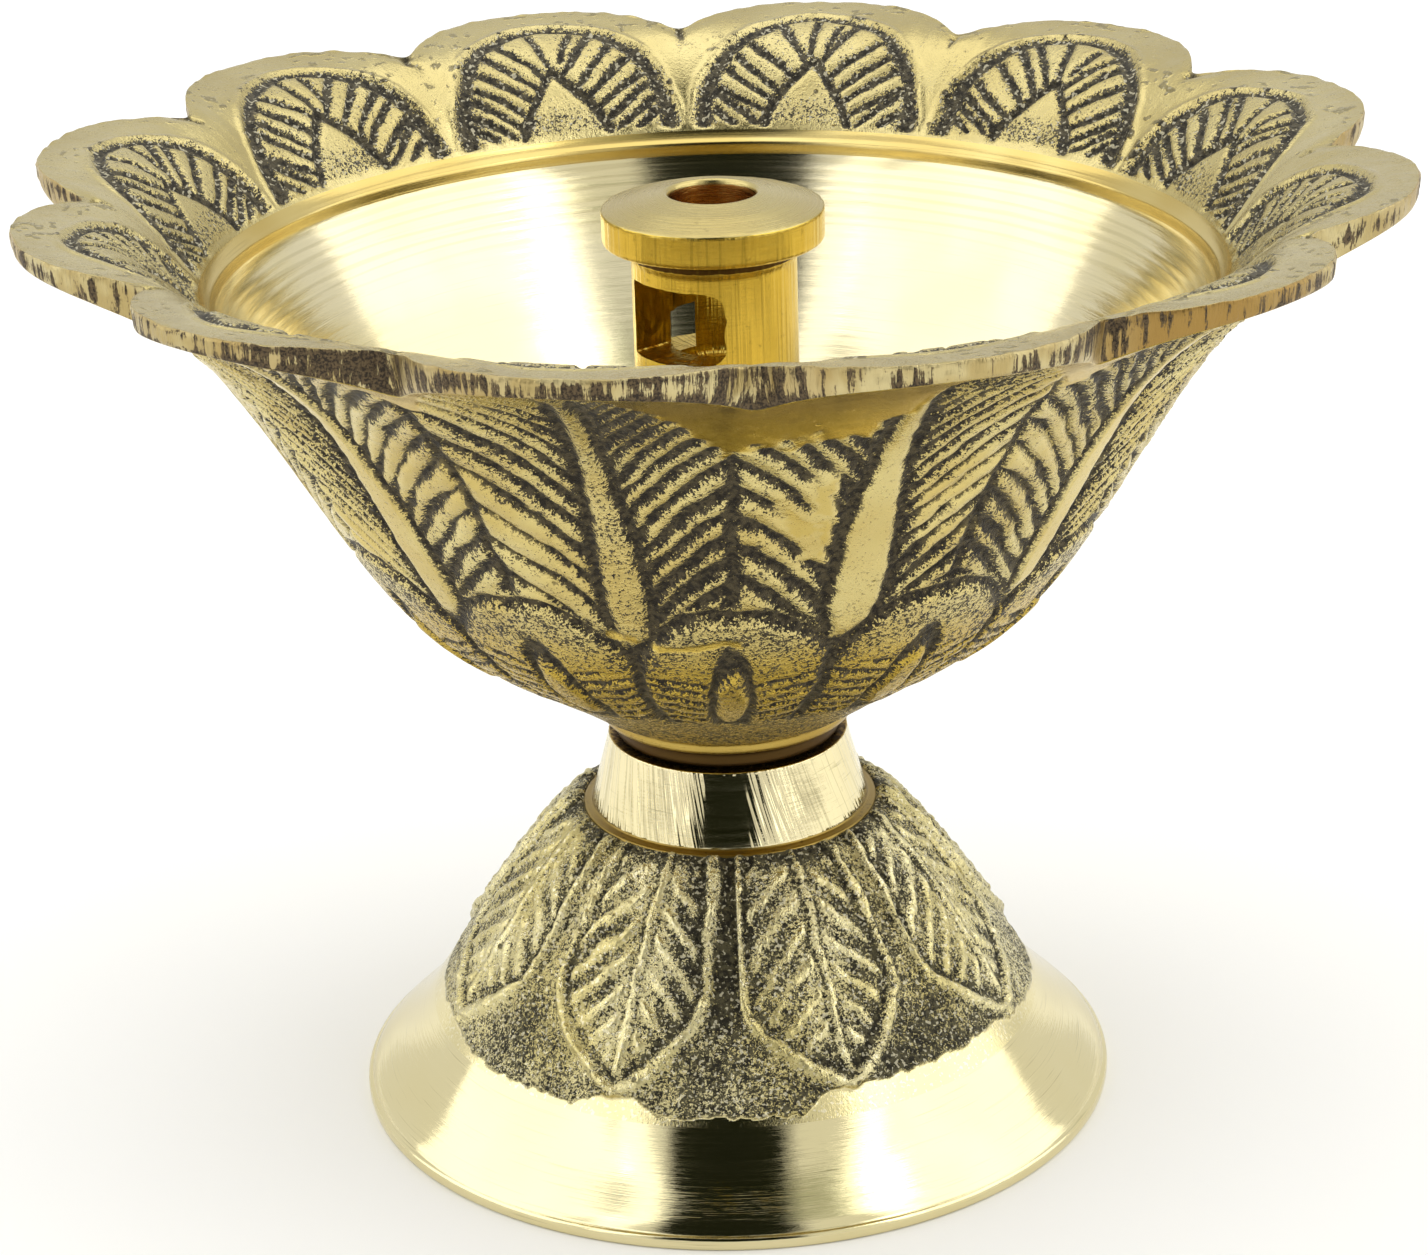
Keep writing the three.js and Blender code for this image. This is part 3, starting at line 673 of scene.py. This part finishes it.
def normals_of(p):
    """Unit normals (in r, z) of a profile, to the left of its direction turned outward."""
    t = np.gradient(p, axis=0)
    t /= np.hypot(t[:, 0], t[:, 1])[:, None]
    return np.stack([t[:, 1], -t[:, 0]], 1)


def build_bowl():
    n = 1080
    surf = Surface(n)
    th = surf.th[None, :]
    rim = rim_radius(th)
    # neck and ring
    neck, _ = resample([[4.6, 28.8], [8.35, 28.8], [8.5, 28.95], [8.5, 29.85], [8.8, 30.15], [9.35, 30.25], [9.55, 30.45], [9.55, 30.9]], 0.25, 1)
    # painted shade: cav darkens the lower neck, the shadowed gap between the bowl's ring and the collar
    surf.add(neck[:, 0], neck[:, 1], 5, cav=smooth(30.25, 29.9, neck[:, 1])[:, None] * 1.0)
    # outside wall, row by row towards the edge of the rim
    edge_r = rim - 0.55 * (RIM_TIP_R - rim) / (RIM_TIP_R - RIM_NOTCH_R) - 0.05
    s_edge = np.interp(edge_r, out_p[:, 0], out_s)
    s_mid = 40.0
    s_low = np.arange(0.0, s_mid, 0.21)[:, None] * np.ones((1, n))
    v = (np.arange(0, 78) / 77.0)[:, None]
    s_high = s_mid + v * (s_edge - s_mid)
    s = np.vstack([s_low, s_high])
    r = np.interp(s, out_s, out_p[:, 0])
    z = np.interp(s, out_s, out_p[:, 1])
    nr = normals_of(out_p)
    nr_r, nr_z = np.interp(s, out_s, nr[:, 0]), np.interp(s, out_s, nr[:, 1])
    gap = s_edge - s
    h, cav, pol, tint = bowl_outside(np.broadcast_to(th, s.shape), s, r, gap)
    h = h * smooth(0.0, 0.35, gap)
    surf.add(r, z, 0, tint=tint, cav=cav, pol=pol, dr=h * nr_r, dz=h * nr_z)
    # rim edge, with file marks across it
    z_back = np.interp(s_edge, out_s, out_p[:, 1])
    z_face = np.interp(rim, face_p[:, 0], face_p[:, 1])
    steps = np.array([0.03, 0.10, 0.22, 0.34, 0.46, 0.58, 0.70, 0.82, 0.92, 0.98])[:, None]
    file_marks = 0.10 * ring_noise(th, 0 * th, 0.9, 1, 101) + 0.07 * ring_noise(th, 0 * th, 0.42, 1, 102)
    long_wave = 0.10 * ring_noise(th, 0 * th, 4.0, 1, 103)
    bulge = np.minimum(1, np.minimum(steps, 1 - steps) * 6)
    er = edge_r + (rim - edge_r) * steps + 0.10 * bulge + (file_marks + long_wave) * bulge * (0.6 + 0.4 * ring_noise(th + 0 * steps, steps * 3, 1.5, 1, 104))
    ez = z_back + (z_face - z_back) * steps
    burr = 0.10 * ring_noise(th, 0 * th, 1.3, 1, 105, 2)
    ez = ez + burr * smooth(0.5, 1.0, steps)
    un = wrap_deg(th - NOTCH0, 30.0)
    chip = cut(un + 0.6 * ring_noise(th, 0 * th, 2.0, 1, 106), 2.6)
    front_soot = 0.30 * np.exp(-((wrap_deg(th - 268.0, 360) / 6.0) ** 2)) + 0.34 * np.exp(-((wrap_deg(th - 236.5, 360) / 4.5) ** 2)) + 0.02 * np.exp(-((wrap_deg(th - 310.0, 360) / 7.0) ** 2))
    # the last term lowers cav along the top edge of the rim: a painted highlight along the burr
    ecav = 0.40 + 0.30 * smooth(0.1, 0.9, chip) + front_soot + 0.46 * ring_noise(th + 0 * steps, steps * 2, 4.0, 1, 107) - 0.45 * smooth(0.86, 0.99, steps)
    browned = np.exp(-((wrap_deg(th - 311.0, 360) / 7.5) ** 2)) + 0.35 * smooth(0.0, 0.5, ring_noise(th, 0 * th, 6.0, 1, 109))
    surf.add(er, ez, 1, tint=np.clip(browned, 0, 1) + 0 * er, cav=ecav, pol=0 * er)
    # face of the petals, from the edge in to the step
    v = np.concatenate([[0.0, 0.006, 0.014], np.linspace(0.024, 1.0, 97)])[:, None]
    fr = rim - 0.02 + v * (ROOT_R - rim + 0.02)
    fs = np.interp(fr, face_p[:, 0], face_s)
    fz = np.interp(fr, face_p[:, 0], face_p[:, 1])
    fn = -normals_of(face_p)
    fgap = np.interp(rim, face_p[:, 0], face_s) - fs
    h, cav, pol = petal_face(np.broadcast_to(th, fs.shape), fs, fr, fgap)
    h = h * smooth(0.0, 0.4, fgap) * smooth(0.0, 0.12, fs - 1.28)
    h = h + burr * smooth(0.35, 0.0, fgap)
    h = h - 0.16 * chip * smooth(1.2, 0.0, fgap) * (0.4 + 0.6 * np.abs(ring_noise(th, 0 * th, 0.8, 1, 108)))
    nr_r, nr_z = np.interp(fr, face_p[:, 0], fn[:, 0]), np.interp(fr, face_p[:, 0], fn[:, 1])
    surf.add(fr, fz, 2, tint=0.40 * smooth(2.6, 0.5, fgap), cav=cav + 0.5 * chip * smooth(0.7, 0.0, fgap), pol=pol, dr=h * nr_r, dz=h * nr_z)
    # turned step
    step, ss = resample([[37.02, 65.06], [36.90, 64.86], [36.62, 64.52], [36.42, 64.36], [36.30, 64.30], [36.20, 64.22], [36.14, 64.0], [36.10, 63.6]], 0.12, 1)
    surf.add(step[:, 0], step[:, 1], 3)
    # inside
    ins, si = resample([[36.06, 63.3], [35.9, 62.8], [34.0, 59.6], [31.2, 54.9], [28.3, 50.5], [25.2, 46.7], [21.8, 43.6],
                        [17.6, 41.0], [12.8, 39.1], [8.6, 38.2], [3.7, 38.2]], 0.55, 3)
    surf.add(ins[:, 0], ins[:, 1], 4)
    surf.add(np.array([3.55, 3.3, 3.3, 3.3]), np.array([38.1, 37.8, 34.0, 31.0]), 6)
    body = surf.build("oil_bowl_body", [M_BOWL_OUT, M_RIM, M_PETAL, M_STEP, M_INSIDE, M_RING, M_THREAD], cap_start=True, cap_end=True)
    return join([body, thread("bowl_spigot", 5.8, 21.25, 28.95, 1.25, 0.55, 108, M_THREAD, up=False)], "bowl_shell")


def thread(name, radius, z0, z1, pitch, depth, columns, material, up=False, chamfer=0.7):
    """A screw thread on a stud: a helical groove cut into a closed lathe."""
    surf = Surface(columns)
    rows = int((z1 - z0) / pitch * 12)
    z = np.linspace(z0, z1, rows)[:, None]
    th = surf.th[None, :]
    p = (z / pitch - th / 360.0) % 1.0
    tri = np.abs(p * 2 - 1)
    form = smooth(0.12, 0.88, tri)
    r = radius - depth * form
    lead = np.clip((z - z0) / chamfer, 0, 1)
    r = np.minimum(r, radius - depth * 1.1 + depth * 1.1 * lead)
    surf.add(np.array([radius * 0.35, radius * 0.75]), np.array([z0, z0]), 0)
    surf.add(r, z + 0 * th, 0)
    surf.add(np.array([radius * 0.5]), np.array([z1]), 0)
    return surf.build(name, [material], cap_start=True, cap_end=True)


# ---------------------------------------------------------------- the base

BASE_OUT = [[28.8, 0.25], [28.8, 0.95], [28.45, 1.3], [27.2, 2.5], [25.8, 3.8], [24.5, 5.3], [23.5, 6.7], [22.5, 8.25],
            [20.55, 11.35], [18.5, 14.45], [16.3, 17.55], [14.2, 20.2], [12.3, 22.2], [11.15, 22.75]]


def base_relief(th, s, r):
    """Leaves hanging point down round the cone."""
    wx = 0.22 * ring_noise(th, s, 7.0, 2.4, 201) + 0.13 * ring_noise(th, s, 2.4, 0.9, 202)
    wy = 0.25 * ring_noise(th, s, 7.0, 2.4, 203) + 0.13 * ring_noise(th, s, 2.4, 0.9, 204)
    k = np.round((th - 248.3) / 45.0).astype(int) % 8
    jit = lambda seed: lattice(k, k * 0 + 4, seed) * 2 - 1
    mm = np.radians(1.0) * r
    y = s + wy
    x = (wrap_deg(th - 248.3, 45.0) + 1.7) * mm + wx + 0.03 * (y - 20) * jit(211)
    ax = np.abs(x)
    side = np.where(x < 0, 1.13, 0.92)
    half = np.interp(y, [10.9, 11.15, 11.6, 12.2, 13.1, 14.0, 15.4, 17.0, 18.4, 24, 29.5], [0, 3.0, 4.8, 6.6, 9.2, 11.8, 15.0, 17.8, 18.9, 19.0, 18.8]) * (1 + 0.02 * jit(212)) * mm * side
    d = ax - half
    # turn the sideways distance into a distance across the slanted tip
    slant = np.interp(y, [11, 12, 13.5, 15, 17, 19], [0.30, 0.46, 0.55, 0.68, 0.85, 1.0])
    d = d * slant
    wear = ring_noise(th, s, 12.0, 6.0, 221, 2)
    patch = ring_noise(th, s, 6.0, 2.2, 222, 2)
    grit = ring_noise(th, s, 1.5, 0.45, 223, 2)
    leaf = smooth(0.25, -0.1, d)
    outline = cut(d + 0.24, 0.62) * np.clip(0.80 + 0.35 * patch + 0.45 * grit, 0, 1)
    inner = cut(d + 0.95, 0.55)
    outer = smooth(0.1, 0.7, d)
    rib = cut(x, 0.55) * smooth(11.6, 12.8, y) * np.clip(0.85 + 0.3 * patch + 0.3 * grit, 0, 1)
    beside = smooth(0.4, 0.7, ax) * smooth(2.3, 1.2, ax) * leaf * smooth(13.0, 15.0, y)
    q = (y + 1.05 * ax) / 2.40 + 0.4 * jit(213) + np.where(x > 0, 0.40, 0)
    dv = np.abs(q - np.round(q)) * 2.40 / math.sqrt(1 + 1.05**2)
    vein_on = smooth(0.55, 0.9, ax) * smooth(-0.80, -1.3, d) * smooth(12.6, 13.8, y) * smooth(28.4, 27.0, y)
    vein = cut(dv, 0.56 + 0.12 * wear) * vein_on * np.clip(0.75 + 0.45 * patch + 0.35 * grit, 0, 1)
    sand = ring_noise(th, s, 1.15, 0.34, 231, 2)
    lumps = ring_noise(th, s, 3.2, 1.0, 232, 2)
    h = 0.22 * leaf + 0.30 * outline + 0.28 * rib + 0.28 * vein - 0.16 * inner * leaf - 0.10 * outer + 0.075 * sand + 0.07 * lumps
    high = np.maximum.reduce([outline, rib * 0.95, vein])
    # worn pale gaps between some leaves, a dark one at the front
    gap = outer * smooth(14, 17, y)
    front_gap = np.exp(-((wrap_deg(th - 266.5, 360) / 6.0) ** 2))
    painted_light_left = np.exp(-((wrap_deg(th - 237, 360) / 8.0) ** 2))
    # painted light: painted_light_left makes the cone paler on the left, where the light falls
    cav = 0.66 - 0.80 * high + 0.22 * inner * leaf - 0.26 * beside - 0.16 * sand + 0.16 * wear + 0.18 * patch - 0.20 * painted_light_left + 0.10 * smooth(280, 292, th) * (th < 345)
    cav = cav + gap * (0.45 * front_gap - 0.28 * (1 - front_gap))
    # painted shade: darker down the middle of the front
    cav = cav + 0.20 * np.exp(-((wrap_deg(th - 264.0, 360) / 10.0) ** 2)) * smooth(14, 20, s) * (1 - high)
    cav = cav + 0.36 * smooth(27.3, 28.2, s)
    # painted light: paler towards the far left and right
    cav = cav - 0.16 * smooth(240, 205, th) * (th < 250) - 0.12 * smooth(305, 335, th)
    return h, np.clip(cav, 0.0, 1.1)


def build_base():
    n = 960
    surf = Surface(n)
    th = surf.th[None, :]
    one = np.ones((1, n))
    # standing ring and lip
    lip, sl = resample([[26.4, 0.0], [28.5, 0.0], [28.7, 0.06], [28.8, 0.25], [28.8, 0.85], [28.7, 1.02], [28.45, 1.08], [28.38, 1.22], [28.3, 1.38]], 0.16, 1)
    surf.add(lip[:, 0], lip[:, 1], 1)
    raw = chaikin(BASE_OUT, 3)
    rs = lengths(raw)
    s_rows = np.concatenate([np.arange(1.75, 8.7, 0.36), np.arange(8.7, 29.35, 0.155)])
    s = s_rows[:, None] * one
    r = np.interp(s, rs, raw[:, 0])
    z = np.interp(s, rs, raw[:, 1])
    nn = normals_of(raw)
    # ragged lower limit of the cast skin; below it the foot is machined
    slow = 10.1 + 0.7 * ring_noise(th, 0 * th, 24.0, 1, 241)
    seen = np.interp(th, [205, 211, 238, 243, 250, 255, 281, 286, 330, 340], [9.6, 9.4, 9.4, 10.5, 10.5, 9.5, 9.5, 10.8, 10.8, 10.2])
    mask = smooth(200, 210, th) * smooth(340, 330, th)
    limit = slow + (seen - slow) * mask + 0.22 * ring_noise(th, 0 * th, 3.4, 1, 242, 2) + 0.07 * ring_noise(th, 0 * th, 1.1, 1, 243)
    skin = smooth(-0.10, 0.16, s - limit + 0.12 * ring_noise(np.broadcast_to(th, s.shape), s, 1.4, 0.5, 244))
    h, cav = base_relief(np.broadcast_to(th, s.shape), s, r)
    top = smooth(29.2, 28.7, s)
    hh = (h + 0.10) * skin * top
    rows_cast = s_rows > 8.75
    split = int(np.argmax(rows_cast))
    for a, b, slot in ((0, split, 1), (split, len(s_rows), 0)):
        surf.add(r[a:b], z[a:b], slot, cav=cav[a:b] * skin[a:b], pol=(1 - skin)[a:b],
                 dr=(hh * np.interp(s, rs, nn[:, 0]))[a:b], dz=(hh * np.interp(s, rs, nn[:, 1]))[a:b])
    # ledge and collar
    ledge, sg = resample([[11.14, 22.78], [11.12, 22.88], [11.02, 22.94], [10.55, 22.99], [10.45, 23.08]], 0.12, 1)
    surf.add(ledge[:, 0], ledge[:, 1], 3)
    col, sc = resample([[10.44, 23.15], [10.10, 24.5], [9.43, 26.9], [9.03, 28.50]], 0.16, 1)
    calm = 0.93 * smooth(12.5, 8.5, np.abs(wrap_deg(th - 268.0, 360)))
    surf.add(col[:, 0], col[:, 1], 2, pol=calm * np.ones((len(col), 1)))
    burr = 0.04 * ring_noise(th, 0 * th, 2.2, 1, 251, 2)
    surf.add(np.array([9.01])[:, None] + burr, np.array([28.60])[:, None] * one, 6)
    # painted shade: cav darkens the mouth of the collar, where it runs down into the hole
    mouth, sm = resample([[8.90, 28.6], [6.6, 28.55], [6.1, 28.0]], 0.3, 0)
    surf.add(mouth[:, 0], mouth[:, 1], 6, cav=0.55 * np.ones((len(mouth), 1)) * one)
    # tapped hole, then the hollow underneath
    zt = np.linspace(27.9, 19.0, 80)[:, None]
    p = (zt / 1.25 - th / 360.0) % 1.0
    surf.add(6.1 + 0.5 * smooth(0.12, 0.88, 1 - np.abs(p * 2 - 1)), zt * one, 4)
    hol, sh = resample([[6.1, 18.9], [7.4, 18.0], [10.2, 15.6], [13.3, 12.6], [16.2, 9.4], [18.6, 6.3], [20.8, 3.9], [23.4, 1.7], [25.7, 0.35], [26.3, 0.05]], 0.4, 2)
    sand = 0.12 * ring_noise(np.broadcast_to(th, (len(hol), n)), sh[:, None] * one, 2.0, 0.8, 261, 3)
    hn = normals_of(hol)
    fade = (smooth(0, 1.5, sh) * smooth(sh[-1], sh[-1] - 1.5, sh))[:, None]
    surf.add(hol[:, 0], hol[:, 1], 5, cav=0.30 + 1.5 * sand, pol=0 * sand, dr=sand * fade * hn[:, :1], dz=sand * fade * hn[:, 1:])
    return surf.build("base_shell", [M_BASE_CAST, M_FOOT, M_COLLAR, M_LEDGE, M_THREAD, M_UNDER, M_RING], closed=True)


# ---------------------------------------------------------------- the wick holder

WIN_DIR, WIN_L, WIN_R, WIN_Z0, WIN_Z1, WIN_ROUND = 220.0, 2.5, 5.0, 58.9, 64.4, 1.2


def rounded_window():
    """Outline of the window: square corners on the left, round ones on the right."""
    pts = [(-WIN_L, WIN_Z1), (-WIN_L, WIN_Z0)]
    for cz, a0 in ((WIN_Z0 + WIN_ROUND, -90), (WIN_Z1 - WIN_ROUND, 0)):
        for a in np.radians(np.linspace(a0, a0 + 90, 9)):
            pts.append((WIN_R - WIN_ROUND + WIN_ROUND * math.cos(a), cz + WIN_ROUND * math.sin(a)))
    pts.append(pts[0])
    p = np.array(pts)
    t = lengths(p)
    u = np.linspace(0, t[-1], 120, endpoint=False)
    return np.stack([np.interp(u, t, p[:, 0]), np.interp(u, t, p[:, 1])], 1)


def prism(name, outline, ends, rows, to_world, torn, seed):
    """A closed prism with torn side walls, from a loop of points and two ends along its own x."""
    n = len(outline)
    centre = outline.mean(0)
    along = np.linspace(ends[0], ends[1], rows)
    out = outline - centre
    out = out / np.hypot(out[:, 0], out[:, 1])[:, None]
    i = np.arange(n)
    verts = []
    for v in along:
        wob = (noise(i / n * 22, 0 * i + v * 1.9 + 50, seed, 22) * 0.6 + noise(i / n * 55, 0 * i + v * 4.5 + 90, seed + 1, 55) * 0.4 - 0.5) * torn
        ring = outline + out * wob[:, None]
        verts.append(np.stack([np.full(n, v), ring[:, 0], ring[:, 1]], 1))
    verts = np.concatenate(verts)
    a, b = np.arange(rows - 1)[:, None], i[None, :]
    j = (b + 1) % n
    quads = np.stack([a * n + b, a * n + j, (a + 1) * n + j, (a + 1) * n + b], -1).reshape(-1, 4)[:, ::-1]
    verts = np.vstack([verts, [[along[0], *centre], [along[-1], *centre]]])
    lo, hi = len(verts) - 2, len(verts) - 1
    tris = [(lo, int(x), int(y)) for x, y in zip(i, np.roll(i, -1))][::1]
    last = (rows - 1) * n
    tris = [(t[0], t[2], t[1]) for t in tris] + [(hi, last + int(x), last + int(y)) for x, y in zip(i, np.roll(i, -1))]
    slots = np.full(len(quads), 3)
    obj = raw_mesh(name, to_world(verts) * MM, quads, np.array(tris), slots, [3] * len(tris), HOLDER_SLOTS, {})
    bm = bmesh.new()
    bm.from_mesh(obj.data)
    bmesh.ops.recalc_face_normals(bm, faces=bm.faces)
    bm.to_mesh(obj.data)
    bm.free()
    return obj


def drop_flaps(mesh):
    """Triangulate a cut mesh and delete the pairs of coincident triangles that the cut leaves along its edges."""
    bm = bmesh.new()
    bm.from_mesh(mesh)
    bmesh.ops.remove_doubles(bm, verts=list(bm.verts), dist=5e-7)
    bmesh.ops.triangulate(bm, faces=list(bm.faces))
    groups = {}
    for f in bm.faces:
        groups.setdefault(frozenset(tuple(round(c, 8) for c in v.co) for v in f.verts), []).append(f)
    bmesh.ops.delete(bm, geom=[f for g in groups.values() if len(g) == 2 for f in g], context="FACES_ONLY")
    bmesh.ops.delete(bm, geom=[e for e in bm.edges if not e.link_faces], context="EDGES")
    bmesh.ops.delete(bm, geom=[v for v in bm.verts if not v.link_faces], context="VERTS")
    bm.to_mesh(mesh)
    bm.free()


def build_holder():
    surf = Surface(192)
    one = np.ones((1, 192))
    tube, _ = resample([[3.0, 38.5], [5.8, 38.5], [6.0, 38.7], [6.0, 50.0], [6.0, 58.0], [6.0, 65.5], [6.06, 65.6], [6.15, 65.68], [6.15, 66.34], [6.0, 66.46]], 0.28, 0)
    # painted shade: cav darkens the top of the tube, in the crevice under the flange
    surf.add(tube[:, 0], tube[:, 1], 0, cav=1.0 * smooth(65.72, 65.98, tube[:, 1])[:, None] * one)
    bore, _ = resample([[3.15, 66.46], [3.15, 57.4], [2.9, 57.2], [1.2, 56.5], [0.3, 56.1]], 0.3, 0)
    surf.add(bore[:, 0], bore[:, 1], 3)
    body = surf.build("holder_body", HOLDER_SLOTS, cap_start=True, cap_end=True)

    # the flange, left whole by the cutters
    surf = Surface(256)
    one = np.ones((1, 256))
    nick = 0.035 * ring_noise(surf.th[None, :], 0 * surf.th[None, :], 5.0, 1, 321, 2)
    side, _ = resample([[3.3, 66.40], [5.97, 66.42], [5.97, 66.60], [6.2, 66.68], [7.75, 66.70], [7.95, 66.78], [8.05, 66.98], [8.05, 69.00]], 0.2, 0)
    # painted shade: cav darkens the flange side near its lower edge, under the flange
    surf.add(side[:, 0], side[:, 1], 0, cav=1.0 * smooth(66.95, 66.72, side[:, 1])[:, None] * smooth(8.0, 7.6, side[:, 0])[:, None] * one)
    surf.add(np.array([8.02, 7.97, 7.86])[:, None] + nick, np.array([69.10, 69.16, 69.20])[:, None] + 0.5 * nick, 1, pol=np.ones((3, 1)) * one)
    top, _ = resample([[7.70, 69.25], [5.6, 69.85], [3.62, 70.24]], 0.22, 0)
    surf.add(top[:, 0], top[:, 1], 1)
    lip, _ = resample([[3.50, 70.28], [3.40, 70.28], [3.26, 70.20], [3.17, 70.02], [3.16, 69.7], [3.16, 66.5]], 0.2, 0)
    edge = int(np.argmax(lip[:, 1] < 70.05))
    surf.add(lip[:edge, 0], lip[:edge, 1], 1)
    surf.add(lip[edge:, 0], lip[edge:, 1], 2)
    flange = surf.build("holder_flange", HOLDER_SLOTS, closed=True)

    c, sn = math.cos(math.radians(WIN_DIR)), math.sin(math.radians(WIN_DIR))
    turn = lambda v: np.stack([v[:, 0] * c - v[:, 1] * sn, v[:, 0] * sn + v[:, 1] * c, v[:, 2]], 1)
    window = prism("window_cutter", rounded_window(), (-0.4, 8.6), 40, turn, 0.20, 301)
    slot = []
    for (x0, z0), (x1, z1) in zip(((-3.3, 57.8), (-1.5, 57.8), (-1.5, 61.2), (-3.3, 61.2)), ((-1.5, 57.8), (-1.5, 61.2), (-3.3, 61.2), (-3.3, 57.8))):
        for i in range(10):
            slot.append((x0 + (x1 - x0) * i / 10, z0 + (z1 - z0) * i / 10))
    back = prism("back_cutter", np.array(slot), (0.0, 7.0), 24, lambda v: np.stack([v[:, 1], v[:, 0], v[:, 2]], 1), 0.08, 311)
    for cutter in (window, back):
        mod = body.modifiers.new("opening", "BOOLEAN")
        mod.operation, mod.object, mod.solver = "DIFFERENCE", cutter, "EXACT"
    bpy.context.view_layer.update()
    dg = bpy.context.evaluated_depsgraph_get()
    cut_mesh = bpy.data.meshes.new_from_object(body.evaluated_get(dg))
    body.modifiers.clear()
    old = body.data
    drop_flaps(cut_mesh)
    body.data = cut_mesh
    bpy.data.meshes.remove(old)
    for cutter in (window, back):
        bpy.data.objects.remove(cutter)
    me = body.data
    me.materials.clear()
    for mat in HOLDER_SLOTS:
        me.materials.append(mat)
    me.polygons.foreach_set("use_smooth", np.ones(len(me.polygons), bool))
    me.set_sharp_from_angle(angle=math.radians(38))
    me.update()
    stud = thread("holder_stud", 3.0, 31.95, 38.6, 0.8, 0.36, 96, M_THREAD, chamfer=0.5)
    return join([body, flange, stud], "wick_holder_body")


bowl = build_bowl()
base = build_base()
holder = build_holder()

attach(bowl, "bowl"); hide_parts("oil_bowl")
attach(base, "base"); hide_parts("pedestal_base")
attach(holder, "wick_holder"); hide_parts("wick_holder")

# ---------------------------------------------------------------- stage, light and camera


def plain_material(name, color, rough):
    m = Nodes(name)
    tone = m.noise(14, 2.0, 0.5)
    m.finish(m.mix(m.math("MULTIPLY", tone, 0.04), color, tuple(0.9 * c for c in color)), rough, 0.0)
    return m.mat


def emission_material(name, color, strength):
    mat = bpy.data.materials.new(name)
    mat.use_nodes = True
    t = mat.node_tree
    t.nodes.clear()
    out = t.nodes.new("ShaderNodeOutputMaterial")
    e = t.nodes.new("ShaderNodeEmission")
    e.inputs[0].default_value = (*color, 1)
    e.inputs[1].default_value = strength
    t.links.new(e.outputs[0], out.inputs[0])
    return mat


def quad(name, corners, material):
    mesh = bpy.data.meshes.new(name)
    mesh.from_pydata(corners, [], [(0, 1, 2, 3)])
    mesh.materials.append(material)
    o = bpy.data.objects.new(name, mesh)
    bpy.context.scene.collection.objects.link(o)
    return o


floor = quad("floor", [(-6, -6, 0), (6, -6, 0), (6, 6, 0), (-6, 6, 0)], plain_material("floor_pale", (0.90, 0.90, 0.89), 0.6))

# A dark flag where the open front of a light tent would be. Only reflections see it.
flag_mat = emission_material("flag_dark", (0.012, 0.014, 0.008), 1.0)
left = {0.0: -0.205, 0.48: -0.240, 0.95: -0.318, 1.30: -0.40}
right_ = {0.0: 0.142, 0.48: 0.160, 0.95: 0.195, 1.30: 0.24}
levels = sorted(left)
flags = [quad("flag_%d" % i, [(left[a], -0.46, a), (right_[a], -0.46, a), (right_[b], -0.46, b), (left[b], -0.46, b)], flag_mat) for i, (a, b) in enumerate(zip(levels, levels[1:]))]
mid_mat = emission_material("flag_mid", (0.50, 0.52, 0.44), 1.0)
flags.append(quad("flag_mid", [(0.19, -0.47, 0.72), (0.60, -0.47, 0.72), (0.62, -0.47, 1.35), (0.22, -0.47, 1.35)], mid_mat))
for f in flags:
    f.visible_camera = False
    f.visible_diffuse = False
    f.visible_shadow = False
    f.visible_transmission = False
    f.visible_volume_scatter = False


def area(name, loc, target, size, radiance, color=(1, 1, 1)):
    light = bpy.data.lights.new(name, "AREA")
    light.shape = "RECTANGLE"
    light.size, light.size_y = size
    light.energy = radiance * math.pi * size[0] * size[1]
    light.color = color
    o = bpy.data.objects.new(name, light)
    o.location = loc
    d = Vector(target) - Vector(loc)
    o.rotation_euler = d.to_track_quat("-Z", "Y").to_euler()
    bpy.context.scene.collection.objects.link(o)
    return o


area("soft_left", (-0.80, -0.10, 0.50), (0, 0, 0.05), (1.0, 0.9), 1.0)
area("soft_right", (0.80, -0.10, 0.50), (0, 0, 0.05), (1.0, 0.9), 1.05)
area("soft_top", (0.0, 0.25, 0.95), (0, 0, 0.05), (1.1, 0.8), 0.98)
area("strip_left", (-0.43, -0.50, 0.50), (0, 0, 0.10), (0.14, 1.0), 0.98)
area("strip_right", (0.47, -0.41, 0.40), (0, 0, 0.10), (0.12, 0.8), 1.3)
area("spot_right", (0.46, -0.26, 0.73), (0, 0, 0.02), (0.14, 0.20), 2.6)

world = bpy.data.worlds.new("world_pale")
world.use_nodes = True
bg = world.node_tree.nodes["Background"]
bg.inputs[0].default_value = (1.0, 0.995, 0.97, 1)
bg.inputs[1].default_value = 0.88
bpy.context.scene.world = world

cam_data = bpy.data.cameras.new("camera")
cam = bpy.data.objects.new("camera", cam_data)
bpy.context.scene.collection.objects.link(cam)
F_PX, DIST, HEIGHT = 3892.8, 270.3, 145.59
YAW, PITCH, ROLL = math.radians(-0.173), math.radians(21.966), math.radians(-1.766)
fwd = Vector((math.sin(YAW) * math.cos(PITCH), math.cos(YAW) * math.cos(PITCH), -math.sin(PITCH)))
right = Vector((math.cos(YAW), -math.sin(YAW), 0))
up = right.cross(fwd)
r2 = right * math.cos(ROLL) + up * math.sin(ROLL)
u2 = up * math.cos(ROLL) - right * math.sin(ROLL)
rot = Matrix((r2, u2, -fwd)).transposed()
cam.matrix_world = Matrix.Translation(Vector((0, -DIST, HEIGHT)) * MM) @ rot.to_4x4()
cam_data.sensor_fit = "HORIZONTAL"
cam_data.sensor_width = 36.0
cam_data.lens = F_PX / 1428 * 36.0
cam_data.clip_start, cam_data.clip_end = 0.01, 50
bpy.context.scene.camera = cam
bpy.context.scene.view_settings.view_transform = "Standard"
bpy.context.scene.view_settings.look = "None"
